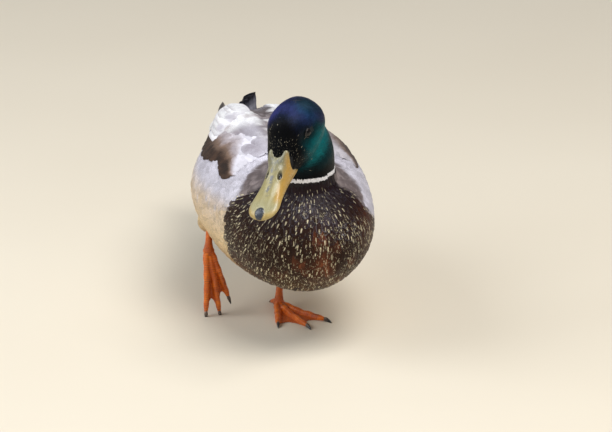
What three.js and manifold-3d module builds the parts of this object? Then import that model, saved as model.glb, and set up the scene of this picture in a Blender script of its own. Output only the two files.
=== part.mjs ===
// A life-size mallard drake (Anas platyrhynchos), walking, as a still museum model.
// Millimetres, +Z up. The bird faces -Y, so its left side is +X. The left foot is planted
// flat, the right foot has just been lifted and hangs on its claw tips, the neck is drawn
// in and the head is turned down and to the bird's right.
// The solids give the outline of the plumage: each feather tract is modelled in bulk.
import * as THREE from "three";
import { mergeVertices } from "three/addons/utils/BufferGeometryUtils.js";
import Module from "manifold-3d";

// ---- driving dimensions (mm, degrees) -------------------------------------------------
const GAP = 0.35; // the thin cut that parts one sub-part from the next
const HEAD_AT = [-18.3, -99.7, 190]; // middle of the head, between the eyes
const HEAD_YAW = 36.8; // turned to the bird's right
const HEAD_PITCH = -24.5; // bill end down
const HEAD_ROLL = 6; // left cheek up
const EYE_R = 5.2;
const EYE_AT = [-1.5, 14.1, 9.5]; // forward, out, up from the middle of the head
const CULMEN = 54;
const TARSUS = 45;
const TOES = { inner: 42, middle: 53, outer: 51 }; // without the claw
const CLAW = 7.5;
const WEB_T = 0.9;
const WING_T = 8; // thickness of the folded wing's bulk
const ORIGIN_SHIFT = [2.166, -40.29, 0]; // puts the box's bottom centre at the origin

// ---- small maths ----------------------------------------------------------------------
const V = (x, y, z) => new THREE.Vector3(x, y, z);
const rad = THREE.MathUtils.degToRad;
const spow = (v, p) => Math.sign(v) * Math.pow(Math.abs(v), p);

// Catmull-Rom through a table's rows; u runs from 0 to rows.length - 1.
function row(rows, u) {
  const n = rows.length - 1,
    i = Math.min(Math.floor(u), n - 1),
    t = u - i;
  const at = (k) => rows[Math.max(0, Math.min(n, k))];
  const [a, b, c, d] = [at(i - 1), at(i), at(i + 1), at(i + 2)];
  return b.map((_, k) => {
    const m0 = (c[k] - a[k]) / 2,
      m1 = (d[k] - b[k]) / 2,
      t2 = t * t,
      t3 = t2 * t;
    return (
      (2 * t3 - 3 * t2 + 1) * b[k] + (t3 - 2 * t2 + t) * m0 +
      (-2 * t3 + 3 * t2) * c[k] + (t3 - t2) * m1
    );
  });
}

// A closed skin over rings of points, with a point at each end.
function skin(first, rings, last) {
  const n = rings[0].length,
    p = [],
    idx = [];
  const push = (v) => p.push(v.x, v.y, v.z);
  push(first);
  rings.forEach((r) => r.forEach(push));
  push(last);
  const at = (i, j) => 1 + i * n + ((j + n) % n),
    end = 1 + rings.length * n;
  for (let j = 0; j < n; j++) {
    idx.push(0, at(0, j + 1), at(0, j));
    for (let i = 0; i + 1 < rings.length; i++)
      idx.push(at(i, j), at(i, j + 1), at(i + 1, j), at(i + 1, j), at(i, j + 1), at(i + 1, j + 1));
    idx.push(end, at(rings.length - 1, j), at(rings.length - 1, j + 1));
  }
  const g = new THREE.BufferGeometry();
  g.setAttribute("position", new THREE.Float32BufferAttribute(p, 3));
  g.setIndex(idx);
  return facingOut(g);
}

function facingOut(g) {
  const p = g.attributes.position,
    x = g.index.array;
  let vol = 0;
  const a = V(), b = V(), c = V();
  for (let i = 0; i < x.length; i += 3) {
    a.fromBufferAttribute(p, x[i]);
    b.fromBufferAttribute(p, x[i + 1]);
    c.fromBufferAttribute(p, x[i + 2]);
    vol += a.dot(b.cross(c));
  }
  if (vol < 0) for (let i = 0; i < x.length; i += 3) [x[i + 1], x[i + 2]] = [x[i + 2], x[i + 1]];
  return g;
}

// Sections along a straight axis. Row: [s, mid, halfWidth, up, down, n], s along `fwd`, mid along `up`.
function loft(rows, { at, fwd, side, up, along, around, grow = 0, from = 0, to = rows.length - 1, tuck = (x) => x }) {
  const rings = [];
  const ring = (u) => {
    const [s, mid, w, hu, hd, e] = row(rows, u);
    const g = grow;
    const out = [];
    for (let j = 0; j < around; j++) {
      const th = (2 * Math.PI * j) / around,
        c = Math.cos(th),
        q = Math.sin(th);
      const x = (w + g) * spow(c, 2 / e),
        z = mid + (q > 0 ? hu + g : hd + g) * spow(q, 2 / e);
      out.push(at.clone().addScaledVector(fwd, s).addScaledVector(side, tuck(x, s, z)).addScaledVector(up, z));
    }
    return out;
  };
  const point = (u, g) => {
    const [s, mid] = row(rows, u);
    return at.clone().addScaledVector(fwd, s + g).addScaledVector(up, mid);
  };
  const sign = Math.sign(rows[rows.length - 1][0] - rows[0][0]);
  for (let i = 1; i < along; i++) rings.push(ring(from + ((to - from) * i) / along));
  return skin(point(from, -grow * sign), rings, point(to, grow * sign));
}

// Sections along a bent line. Row: [x, y, z, rSide, rUp]; `hint` fixes which way rUp lies.
function limb(rows, { around, along, hint = V(0, 0, 1), grow = 0, flat = 2 }) {
  const rings = [],
    n = rows.length - 1;
  const pos = (u) => V(...row(rows, u).slice(0, 3));
  const frame = (u) => {
    const t = pos(Math.min(n, u + 0.02)).sub(pos(Math.max(0, u - 0.02))).normalize();
    const s = t.clone().cross(hint).normalize();
    return [t, s, s.clone().cross(t).normalize()];
  };
  for (let i = 1; i < along; i++) {
    const u = (n * i) / along,
      r = row(rows, u),
      c = pos(u),
      [, s, w] = frame(u);
    const ring = [];
    for (let j = 0; j < around; j++) {
      const th = (2 * Math.PI * j) / around;
      ring.push(
        c.clone()
          .addScaledVector(s, (r[3] + grow) * spow(Math.cos(th), 2 / flat))
          .addScaledVector(w, (r[4] + grow) * spow(Math.sin(th), 2 / flat)),
      );
    }
    rings.push(ring);
  }
  const [t0] = frame(0),
    [t1] = frame(n);
  return skin(
    pos(0).addScaledVector(t0, -grow),
    rings,
    pos(n).addScaledVector(t1, grow),
  );
}

// ---- joining and cutting ----------------------------------------------------------------
const wasm = await Module();
wasm.setup();
function solid(geometry) {
  const g = geometry.clone();
  g.deleteAttribute("normal");
  g.deleteAttribute("uv");
  const m = mergeVertices(g, 1e-4);
  return new wasm.Manifold(
    new wasm.Mesh({
      numProp: 3,
      vertProperties: new Float32Array(m.attributes.position.array),
      triVerts: new Uint32Array(m.index.array),
    }),
  );
}
function geometryOf(s) {
  const m = s.getMesh(),
    n = m.numProp,
    p = new Float32Array(m.numVert * 3);
  for (let i = 0; i < m.numVert; i++) p.set(m.vertProperties.subarray(i * n, i * n + 3), i * 3);
  const g = new THREE.BufferGeometry();
  g.setAttribute("position", new THREE.BufferAttribute(p, 3));
  g.setIndex(new THREE.BufferAttribute(new Uint32Array(m.triVerts), 1));
  return g;
}
const largest = (s) => s.decompose().sort((a, b) => b.volume() - a.volume())[0];
const box = (x0, x1, y0, y1, z0, z1) =>
  solid(new THREE.BoxGeometry(x1 - x0, y1 - y0, z1 - z0).translate((x0 + x1) / 2, (y0 + y1) / 2, (z0 + z1) / 2));
const FLOOR = box(-300, 300, -400, 400, -50, 0);

// ---- trunk: breast, back, belly, flanks and the tail coverts ----------------------------
// [y, mid z, half width, up, down, squareness]
const TRUNK = [
  [-124, 101, 0.5, 0.5, 0.5, 2],
  [-120, 101, 21, 21, 21, 2],
  [-110, 101, 36, 35, 34, 2],
  [-92, 101, 50, 48, 48, 2],
  [-66, 101, 60.5, 54, 55, 2.05],
  [-34, 101, 67, 57, 60, 2.1],
  [0, 101, 71, 59, 61, 2.1],
  [34, 101, 71, 59, 60, 2.05],
  [68, 102, 64, 56, 51, 2],
  [98, 106, 51.5, 48.5, 39, 2],
  [124, 111, 39, 36.5, 28, 2.05],
  [146, 113, 29, 23.5, 19, 2.05],
  [166, 111, 21, 14, 13.5, 2],
  [184, 108.5, 14, 7.5, 8.5, 2],
  [197, 106.6, 7.5, 3.8, 4.8, 2],
  [203, 106, 0.5, 0.5, 0.5, 2],
];
const trunkAxes = { at: V(0, 0, 0), fwd: V(0, 1, 0), side: V(1, 0, 0), up: V(0, 0, 1) };
// The lifted leg pushes the right flank out and the bird rolls a little over the left one.
const FLANK_PUSH = 2.8;
const WING_TUCK = 5; // how far the upper rear of the right side lies in, under the folded wing
const sway = (x, y, z) =>
  x -
  FLANK_PUSH * Math.exp(-(((y - 38) / 50) ** 2) - ((z - 108) / 24) ** 2) +
  WING_TUCK * Math.exp(-(((y - 80) / 30) ** 2) - ((z - 142) / 17) ** 2) * Math.min(1, Math.max(0, -x / 22));
const SADDLE = 7; // how deep the hollow of the lower back is, between the folded wings
const ease = (a, b, v) => {
  const t = Math.min(1, Math.max(0, (v - a) / (b - a)));
  return t * t * (3 - 2 * t);
};
const saddle = (x, y, z) => SADDLE * Math.exp(-((x / 11.5) ** 2)) * ease(30, 86, y) * ease(190, 150, y) * ease(112, 124, z);
const trunkLoft = (grow = 0) => {
  const g = loft(TRUNK, { ...trunkAxes, along: 22, around: 26, grow, tuck: sway });
  const p = g.attributes.position;
  for (let i = 0; i < p.count; i++) p.setZ(i, p.getZ(i) - saddle(p.getX(i), p.getY(i), p.getZ(i)));
  return solid(g);
};

// ---- neck: a short thick column, as the neck is drawn in --------------------------------
const NECK = [
  [0.3, -50, 112, 40, 38],
  [-1, -62, 132, 36, 34],
  [-3.3, -74, 150, 29.5, 29],
  [-3.7, -79, 164, 26.9, 27],
  [-4.1, -82, 178, 25.5, 26],
  [-6.6, -86, 192, 20.5, 21],
  [-10.8, -90, 203, 5, 5],
];
const neckLimb = (grow = 0) =>
  solid(limb(NECK, { around: 20, along: 11, hint: V(0, -1, 0), grow }));

// ---- head -------------------------------------------------------------------------------
const headBasis = (() => {
  const m = new THREE.Matrix4()
    .makeRotationZ(-rad(HEAD_YAW)) // turn to the bird's right
    .multiply(new THREE.Matrix4().makeRotationX(-rad(HEAD_PITCH)))
    .multiply(new THREE.Matrix4().makeRotationY(-rad(HEAD_ROLL)));
  const pick = (x, y, z) => V(x, y, z).applyMatrix4(m);
  return { fwd: pick(0, -1, 0), side: pick(1, 0, 0), up: pick(0, 0, 1) };
})();
const headAxes = { at: V(...HEAD_AT), ...headBasis };
const inHead = (f, l, u) =>
  V(...HEAD_AT).addScaledVector(headBasis.fwd, f).addScaledVector(headBasis.side, l).addScaledVector(headBasis.up, u);
// [forward, mid, half width, up, down, squareness]
const HEAD = [
  [-36, 2, 0.5, 0.5, 0.5, 2],
  [-34, 2, 11.8, 12.9, 11, 2],
  [-27, 2.5, 18.9, 24, 19.5, 2],
  [-15, 2.5, 21.9, 30.4, 23.5, 2.05],
  [-2, 2, 21.8, 27.8, 24, 2.1],
  [9, 0.5, 18.7, 25.8, 22, 2.1],
  [18, -1, 15, 18, 17.5, 2.1],
  [25, -2.5, 12.4, 12.5, 13, 2.1],
  [29, -4, 11, 9, 9.5, 2.1],
  [31, -4, 0.5, 0.5, 0.5, 2],
];
// The face is drawn in at the eye and in front of it, between the crown and the cheek.
// With the head turned, the nape feathers stand fuller on the outer side of the turn.
const NAPE_LEAN = 5.1;
const orbit = (x, f, u) =>
  x * (1 - 0.17 * Math.exp(-(((f - 5) / 11) ** 2) - ((u - 9) / 8) ** 2)) +
  NAPE_LEAN * Math.exp(-(((f + 21.4) / 13) ** 2)) * ease(-14, 16, u);
const headLoft = (grow = 0) => solid(loft(HEAD, { ...headAxes, along: 15, around: 20, grow, tuck: orbit }));

// ---- bill: [forward, tomium height, half width, culmen above it, depth below it, squareness]
const BILL_UPPER = [
  [15, -8, 8, 9, 0.6, 2],
  [20, -9, 10.2, 17, 0.8, 2.1],
  [26, -9.8, 10.8, 17.2, 0.8, 2.2],
  [33, -10.2, 10.2, 14.6, 0.8, 2.2],
  [41, -10.5, 9.8, 12.0, 0.8, 2.2],
  [50, -10.9, 10.4, 9.2, 0.8, 2.2],
  [59, -11.2, 11.8, 6.9, 0.8, 2.2],
  [67, -11.5, 12.9, 5.3, 0.8, 2.2],
  [73, -11.9, 12.6, 4.4, 0.8, 2.1],
  [78, -12.6, 10.2, 3.5, 0.8, 2],
  [81, -13.4, 5.6, 2.0, 0.8, 2],
  [82, -13.8, 0.4, 0.3, 0.3, 2],
];
const BILL_LOWER = [
  [12, -12.5, 4, 1, 2, 2],
  [17, -12.4, 9.0, 1.8, 5.6, 2.2],
  [27, -12.9, 9.2, 1.8, 5.0, 2.2],
  [40, -13.4, 8.6, 1.8, 4.2, 2.2],
  [53, -14.0, 9.2, 1.6, 3.3, 2.2],
  [66, -14.5, 10.3, 1.3, 2.4, 2.2],
  [73, -14.9, 9.2, 1.0, 1.9, 2.1],
  [77.5, -15.3, 5.6, 0.7, 1.2, 2],
  [79, -15.6, 0.4, 0.3, 0.3, 2],
];
const upperBill = (grow = 0) => solid(loft(BILL_UPPER, { ...headAxes, along: 15, around: 16, grow }));
const lowerBill = (grow = 0) => solid(loft(BILL_LOWER, { ...headAxes, along: 10, around: 12, grow }));

const eye = (s, grow = 0) => {
  const c = inHead(EYE_AT[0], s * EYE_AT[1], EYE_AT[2]);
  return solid(new THREE.SphereGeometry(EYE_R + grow, 11, 7).translate(c.x, c.y, c.z));
};

// ---- wings: a plate that follows the body's side ----------------------------------------
const wingShape = new THREE.Shape();
wingShape.moveTo(-44, 158); // y, z, round from the bend of the wing
wingShape.bezierCurveTo(-40, 146, -24, 134, 0, 131);
wingShape.bezierCurveTo(30, 127, 66, 126, 96, 128);
wingShape.bezierCurveTo(120, 130, 140, 131, 152, 134);
wingShape.bezierCurveTo(158, 140, 152, 148, 140, 156);
wingShape.lineTo(60, 200);
wingShape.lineTo(-36, 200);
wingShape.bezierCurveTo(-42, 180, -46, 168, -44, 158);
function wingRegion(s, grow) {
  const inner = 15 - grow;
  const g = new THREE.ExtrudeGeometry(wingShape, { depth: 120, bevelEnabled: false, curveSegments: 6 });
  // shape x, y, depth -> world y, z, x
  const m = new THREE.Matrix4().makeBasis(V(0, 1, 0), V(0, 0, 1), V(1, 0, 0)).setPosition(inner, 0, 0);
  g.applyMatrix4(m);
  if (grow) {
    const c = V(0, 35, 150);
    g.translate(-c.x, -c.y, -c.z).scale(1, 1 + grow / 105, 1 + grow / 45).translate(c.x, c.y, c.z);
  }
  if (s < 0) g.scale(-1, 1, 1);
  return solid(facingOut(mergeVertices(stripped(g), 1e-4)));
}
function stripped(g) {
  g.deleteAttribute("normal");
  g.deleteAttribute("uv");
  return g;
}
const wing = (s) =>
  largest(trunkLoft(1.6).subtract(trunkLoft(-WING_T)).intersect(wingRegion(s, 0)));
const wingPocket = (s) =>
  trunkLoft(3).subtract(trunkLoft(-WING_T - GAP)).intersect(wingRegion(s, GAP));

// The long flight feathers that show behind the folded wing: [x, y, z, half width, half thickness]
const PRIMARIES = [
  [31, 100, 142.5, 7.5, 1.6],
  [28, 120, 141.2, 8, 1.9],
  [23.5, 144, 138, 6.4, 1.7],
  [19, 166, 132.8, 4.2, 1.3],
  [16, 183, 128.4, 1.2, 0.7],
];
const LEFT_DROP = 9; // the left wing is folded lower over the rump than the right
const primaries = (s, grow = 0) =>
  solid(limb(PRIMARIES.map(([x, y, z, ...r]) => [s * x, y, z - (s > 0 ? LEFT_DROP * ease(96, 158, y) : 0), ...r]), { around: 10, along: 9, grow }));

// ---- tail ---------------------------------------------------------------------------------
// The fan: [y, mid z, half width, up, down, squareness], arched across by ARCH
const TAIL = [
  [148, 112, 4, 1, 1, 2],
  [156, 111.5, 14, 2.6, 2.6, 2.3],
  [176, 108, 17, 2.8, 2.8, 2.4],
  [198, 103, 19, 2.4, 2.4, 2.4],
  [216, 99, 18.5, 1.9, 1.9, 2.3],
  [229, 96, 14, 1.5, 1.5, 2.2],
  [237, 94.3, 6.5, 1.0, 1.0, 2],
  [240, 93.6, 0.4, 0.3, 0.3, 2],
];
const TAIL_ARCH = 4; // how far the outer feathers hang below the middle
const tailFan = (grow = 0) => {
  const g = loft(TAIL, { ...trunkAxes, along: 11, around: 14, grow });
  const p = g.attributes.position;
  for (let i = 0; i < p.count; i++) p.setZ(i, p.getZ(i) - TAIL_ARCH * (p.getX(i) / 19) ** 2);
  return solid(g);
};
// The drake's curled covert: an arc that rolls up and forward.
const CURL = { base: [5, 156, 129], r: 8.5, sweep: 250, width: 4.5, thick: 1.1, lean: 0.27 };
function curl(s, grow = 0) {
  const rows = [];
  const [bx, by, bz] = CURL.base;
  const r0 = s > 0 ? CURL.r : CURL.r * 0.88;
  rows.push([s * bx, by - 14, bz - 5, 2.4, 0.9]);
  rows.push([s * bx, by - 4, bz - 1.5, CURL.width, CURL.thick]);
  for (let k = 0; k <= 6; k++) {
    const a = rad(-78 + (CURL.sweep * k) / 6),
      r = r0 * (1 - 0.07 * k);
    const z = bz + 8 + r * Math.sin(a);
    rows.push([
      s * bx + CURL.lean * Math.max(0, z - bz),
      by + 4 + r * Math.cos(a),
      z,
      CURL.width * (k < 5 ? 1 : 1.25 - 0.15 * k),
      CURL.thick,
    ]);
  }
  return solid(limb(rows, { around: 6, along: 15, grow }));
}

// ---- legs -----------------------------------------------------------------------------------
const LEG = {
  L: { ankle: V(5.5, 39, 45), joint: V(-3, 12, 7.5) },
  R: { ankle: V(-53, 57, 77), joint: V(-61.5, 22.5, 56) },
};
const THIGH = {
  L: [[32, 0, 82, 20, 20], [24, 15, 66, 21, 20], [16, 27, 54, 17, 16], [9.5, 35, 47, 11, 10], [6.5, 38, 42, 6, 6], [6, 38.5, 38, 1.5, 1.5]],
  R: [[-35, 7, 94, 18, 16], [-44, 25, 86, 20, 18], [-52, 39, 78, 17, 16], [-57.5, 43, 71, 12, 11], [-60, 40, 67, 6, 6], [-61, 37, 65.5, 1.5, 1.5]],
};
const thigh = (k, grow = 0) => solid(limb(THIGH[k], { around: 14, along: 8, grow }));
function tarsus(k, grow = 0) {
  const { ankle: a, joint: b } = LEG[k];
  const at = (t, r1, r2) => [...a.clone().lerp(b, t).toArray(), r1, r2];
  return solid(
    limb([at(-0.14, 1, 1), at(-0.08, 3.4, 3.6), at(0.04, 4.4, 4.6), at(0.2, 3.0, 3.8), at(0.55, 2.6, 3.4), at(0.85, 3.0, 3.5), at(1, 3.9, 3.6), at(1.08, 2.6, 2.2), at(1.12, 0.5, 0.5)], {
      around: 8, along: 9, hint: V(0, -1, 0.4), grow,
    }),
  );
}
// Toes: where each starts beside the joint, and where its flesh ends.
function toeTable(k) {
  const { joint: j } = LEG[k];
  if (k === "L") {
    const dir = (deg) => V(Math.sin(rad(deg)), -Math.cos(rad(deg)), 0);
    const toe = (deg, len, x0) => {
      const s = V(j.x + x0, j.y - 2, 4.6);
      const e = s.clone().addScaledVector(dir(deg), len - 4);
      return [s, e.setZ(1.9), dir(deg)];
    };
    return { inner: toe(-12, TOES.inner, -2), middle: toe(15, TOES.middle, 0), outer: toe(38, TOES.outer, 2) };
  }
  const hang = (tip, len, x0) => {
    const s = V(j.x + x0, j.y, j.z - 3);
    const d = V(...tip).sub(s).normalize();
    return [s, s.clone().addScaledVector(d, len - 4), d];
  };
  return {
    inner: hang([-42.5, 15, 2], TOES.inner + 1, 2),
    middle: hang([-55, 9.5, 0], TOES.middle, 0),
    outer: hang([-67.5, 7.5, 0], TOES.outer + 1, -2),
  };
}
const SHORTER = 0.94;
function toeRows(k, name) {
  const [s, e] = toeTable(k)[name];
  const flatFoot = k === "L";
  const rows = [];
  const R = [2.2, 3.3, 2.7, 3.0, 2.5, 2.8, 2.4, 2.5, 1.4];
  R.forEach((r, i) => {
    const t = i / (R.length - 1),
      p = s.clone().lerp(e, t);
    const arch = flatFoot ? 0.9 * Math.sin(Math.PI * Math.min(1, t * 1.15)) : 0;
    if (flatFoot) p.z = Math.max(r - 0.6, THREE.MathUtils.lerp(s.z, 1.9, Math.min(1, t * 2.2))) + arch * 0.15;
    else p.y -= 2.2 * Math.sin(Math.PI * t);
    rows.push([...p.toArray(), r * 0.92, r * SHORTER]);
  });
  return rows;
}
const toe = (k, name, grow = 0) =>
  solid(limb(toeRows(k, name), { around: 6, along: 7, hint: k === "L" ? V(0, 0, 1) : V(0, -1, 0.01), grow }));
function claw(k, name) {
  const t = toeTable(k)[name];
  const [, e, d] = t;
  const up = k === "L" ? V(0, 0, 1) : V(0, -1, 0);
  const rows = [[-1.5, 0.4, 1.3], [0.6, 0.7, 1.9], [2.6, 0.5, 1.6], [5.2, -0.4, 1.05], [CLAW, -1.6, 0.3]].map(([s, h, r]) => [
    ...e.clone().addScaledVector(d, s).addScaledVector(up, h).toArray(), r * 0.8, r,
  ]);
  if (k === "L") rows.forEach((r) => (r[2] = Math.max(r[2] - 0.7, r[4] - 0.45)));
  return solid(limb(rows, { around: 6, along: 5, hint: up.clone().addScaledVector(d, 0.01) }));
}
// The hind toe, small and set above the others at the back of the leg.
function hindRows(k) {
  const { joint: j, ankle: a } = LEG[k];
  const back = k === "L" ? V(-0.25, 1, 0).normalize() : V(-0.1, 0.75, -0.6).normalize();
  const s = j.clone().add(V(0, 0, -2));
  const drop = k === "L" ? [0, -0.6, -2.4, -3.9] : [0, 0, -0.6, -1.6];
  return [0, 6, 10.6, 14.4].map((t, i) => [
    ...s.clone().addScaledVector(back, t).add(V(0, 0, drop[i])).toArray(), [2.2, 2.2, 1.9, 1.2][i], [2.2, 2.2, 1.9, 1.2][i],
  ]);
}
const hindToe = (k, grow = 0) => solid(limb(hindRows(k), { around: 6, along: 5, grow }));
function hindClaw(k) {
  const r = hindRows(k),
    a = V(...r[2].slice(0, 3)),
    e = V(...r[3].slice(0, 3)),
    d = e.clone().sub(a).normalize();
  const rows = [[-0.8, 0, 0.9], [0.8, 0.1, 1.1], [2.6, -0.2, 0.75], [4.4, -0.9, 0.25]].map(([s, h, q]) => [
    ...e.clone().addScaledVector(d, s).add(V(0, 0, h)).toArray(), q, q,
  ]);
  return solid(limb(rows, { around: 6, along: 4 }));
}
// The web between two toes: a thin sheet with a hollow outer edge.
function web(k, n1, n2) {
  const A = toeRows(k, n1),
    B = toeRows(k, n2),
    N = 4,
    M = 3;
  const mid = (rows, t) => V(...row(rows, t * (rows.length - 1)).slice(0, 3));
  const grid = [];
  for (let i = 0; i <= N; i++) {
    const r = [];
    for (let j = 0; j <= M; j++) {
      const t = j / M,
        s = 0.02 + 0.95 * (i / N) * (1 - 0.2 * Math.sin(Math.PI * t));
      const p = mid(A, s).lerp(mid(B, s), t);
      const sag = Math.sin(Math.PI * t) * (i / N);
      if (k === "L") p.z = Math.max(0.45, p.z - 1.1) - 0.35 * sag;
      else p.y += 2.4 * sag;
      r.push(p);
    }
    grid.push(r);
  }
  const off = k === "L" ? V(0, 0, WEB_T / 2) : V(0, WEB_T / 2, 0);
  const p = [],
    idx = [],
    W = M + 1,
    top = (i, j) => i * W + j,
    bot = (i, j) => (N + 1) * W + i * W + j;
  for (const sgn of [1, -1]) grid.forEach((r) => r.forEach((q) => p.push(...q.clone().addScaledVector(off, sgn).toArray())));
  for (let i = 0; i < N; i++)
    for (let j = 0; j < M; j++) {
      idx.push(top(i, j), top(i, j + 1), top(i + 1, j), top(i + 1, j), top(i, j + 1), top(i + 1, j + 1));
      idx.push(bot(i, j), bot(i + 1, j), bot(i, j + 1), bot(i + 1, j), bot(i + 1, j + 1), bot(i, j + 1));
    }
  const rim = [];
  for (let j = 0; j < M; j++) rim.push([0, j]);
  for (let i = 0; i < N; i++) rim.push([i, M]);
  for (let j = M; j > 0; j--) rim.push([N, j]);
  for (let i = N; i > 0; i--) rim.push([i, 0]);
  rim.forEach(([i, j], q) => {
    const [i2, j2] = rim[(q + 1) % rim.length];
    idx.push(top(i, j), bot(i, j), top(i2, j2), top(i2, j2), bot(i, j), bot(i2, j2));
  });
  const g = new THREE.BufferGeometry();
  g.setAttribute("position", new THREE.Float32BufferAttribute(p, 3));
  g.setIndex(idx);
  return solid(facingOut(g));
}
const foot = (k, grow = 0) => {
  let s = toe(k, "inner", grow).add(toe(k, "middle", grow)).add(toe(k, "outer", grow)).add(hindToe(k, grow));
  const j = LEG[k].joint;
  s = s.add(solid(new THREE.SphereGeometry(4.6 + grow, 8, 6).scale(1.1, 0.95, 0.8).translate(j.x, j.y, j.z - 2.4)));
  return s.add(web(k, "inner", "middle")).add(web(k, "middle", "outer"));
};

// ---- parting the bird into its named pieces ---------------------------------------------
const pieces = {};
const eyes = { L: eye(1), R: eye(-1) };
const body = trunkLoft();
const neckCut = neckLimb(GAP);
const tarsi = {}, feet = {};
for (const k of ["L", "R"]) {
  tarsi[k] = tarsus(k);
  feet[k] = largest(foot(k).subtract(tarsus(k, GAP)).subtract(FLOOR));
}
let head = headLoft().subtract(eye(1, GAP)).subtract(eye(-1, GAP));
const billU = upperBill().subtract(headLoft(GAP));
const billL = lowerBill().subtract(headLoft(GAP)).subtract(upperBill(GAP));
const wingCut = (g) => trunkLoft(1.6 + g).subtract(trunkLoft(-WING_T)).intersect(wingRegion(1, g).add(wingRegion(-1, g)));
const neck = neckLimb().subtract(headLoft(GAP)).subtract(trunkLoft(GAP)).subtract(upperBill(GAP)).subtract(lowerBill(GAP)).subtract(wingCut(GAP));
head = head.subtract(trunkLoft(GAP));
let trunk = body.subtract(wingPocket(1)).subtract(wingPocket(-1));
const thighs = {};
for (const k of ["L", "R"]) {
  trunk = trunk.subtract(tarsus(k, GAP));
  thighs[k] = largest(thigh(k).subtract(trunkLoft(GAP)).subtract(tarsus(k, GAP)));
}
pieces.trunk = [largest(trunk), 0x5a4038, 0.8];
pieces.neck = [largest(neck), 0x12302c, 0.5];
pieces.head = [largest(head), 0x0f4a43, 0.45];
pieces.bill_upper = [largest(billU), 0xb9b057, 0.45];
pieces.bill_lower = [largest(billL), 0xa9983f, 0.5];
pieces.eye_L = [eyes.L, 0x1c0f08, 0.1];
pieces.eye_R = [eyes.R, 0x1c0f08, 0.1];
for (const [k, s] of [["L", 1], ["R", -1]]) {
  const w = wing(s);
  const cutTrunk = trunkLoft(GAP);
  pieces["wing_" + k] = [w, 0xb9b4b6, 0.8];
  const wingWide = trunkLoft(1.6 + GAP).subtract(trunkLoft(-WING_T)).intersect(wingRegion(s, GAP));
  pieces["primaries_" + k] = [largest(primaries(s).subtract(cutTrunk).subtract(wingWide)), 0x3b3432, 0.7];
  pieces["curl_" + k] = [largest(curl(s).subtract(cutTrunk).subtract(tailFan(GAP))), 0x15171c, 0.5];
  pieces["thigh_" + k] = [thighs[k], 0x9a8f86, 0.85];
  pieces["tarsus_" + k] = [largest(tarsi[k]), 0xc8551c, 0.5];
  pieces["foot_" + k] = [feet[k], 0xc8551c, 0.5];
  for (const n of ["inner", "middle", "outer"])
    pieces[`claw_${k}_${n}`] = [largest(claw(k, n).subtract(foot(k, GAP)).subtract(FLOOR)), 0x2a201c, 0.4];
  pieces[`claw_${k}_hind`] = [largest(hindClaw(k).subtract(foot(k, GAP)).subtract(FLOOR)), 0x2a201c, 0.4];
}
pieces.tail = [largest(tailFan().subtract(trunkLoft(GAP)).subtract(primaries(1, GAP)).subtract(primaries(-1, GAP))), 0xe6e2dc, 0.8];

const duck = new THREE.Group();
duck.position.set(...ORIGIN_SHIFT);
for (const [name, [s, colour, roughness]] of Object.entries(pieces)) {
  const mesh = new THREE.Mesh(
    geometryOf(s),
    new THREE.MeshStandardMaterial({ color: colour, roughness, metalness: 0 }),
  );
  mesh.name = name;
  duck.add(mesh);
}
export default duck;
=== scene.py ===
import bpy, math
import numpy as np
from mathutils import Vector, Matrix
from mathutils.bvhtree import BVHTree


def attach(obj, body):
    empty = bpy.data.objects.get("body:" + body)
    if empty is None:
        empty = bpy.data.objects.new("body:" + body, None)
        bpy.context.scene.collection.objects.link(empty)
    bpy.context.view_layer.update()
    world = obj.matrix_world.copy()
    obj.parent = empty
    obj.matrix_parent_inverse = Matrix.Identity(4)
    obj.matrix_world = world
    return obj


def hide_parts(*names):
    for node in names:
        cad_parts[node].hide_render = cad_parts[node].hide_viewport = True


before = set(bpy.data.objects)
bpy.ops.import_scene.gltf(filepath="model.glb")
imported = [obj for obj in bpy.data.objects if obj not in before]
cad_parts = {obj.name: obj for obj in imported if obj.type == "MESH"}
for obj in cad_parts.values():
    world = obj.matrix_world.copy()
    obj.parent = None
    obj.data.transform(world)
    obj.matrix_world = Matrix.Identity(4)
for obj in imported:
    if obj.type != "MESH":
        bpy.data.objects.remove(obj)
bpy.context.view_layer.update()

# A walking mallard drake as a museum model. Everything below is worked out in millimetres in the
# bird's own frame (it faces -Y, its left is +X, the floor is z = 0) and moved by SHIFT at the end.
SHIFT = np.array([2.166, -40.29, 0.0])
MM = 0.001
RNG = np.random.default_rng(20)


def rgb(*c):
    """sRGB 0-255 to linear."""
    c = np.array(c, float) / 255
    return np.where(c <= 0.04045, c / 12.92, ((c + 0.055) / 1.055) ** 2.4)


def sm(a, b, x):
    t = np.clip((np.asarray(x, float) - a) / (b - a), 0, 1)
    return t * t * (3 - 2 * t)


def unit(v):
    return v / (np.linalg.norm(v, axis=-1, keepdims=True) + 1e-12)


def hash3(p, seed=0):
    """A smooth value noise in 0..1 of points p (n, 3), with lattice step 1."""
    p = np.asarray(p, float)
    i = np.floor(p).astype(np.int64)
    f = p - i
    f = f * f * (3 - 2 * f)
    out = 0
    for dx in (0, 1):
        for dy in (0, 1):
            for dz in (0, 1):
                k = (i[..., 0] + dx) * 73856093 ^ (i[..., 1] + dy) * 19349663 ^ (i[..., 2] + dz) * 83492791 ^ (seed * 2654435761 + 12345)
                k = (k ^ (k >> 13)) * 1274126177
                k = k & 0x7FFFFFFF
                v = (k % 100003) / 100003.0
                w = (f[..., 0] if dx else 1 - f[..., 0]) * (f[..., 1] if dy else 1 - f[..., 1]) * (f[..., 2] if dz else 1 - f[..., 2])
                out = out + v * w
    return out


def fbm(p, seed=0):
    p = np.asarray(p, float)
    return 0.55 * hash3(p, seed) + 0.3 * hash3(p * 2.1 + 7.3, seed + 1) + 0.15 * hash3(p * 4.3 + 3.1, seed + 2)


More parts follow.
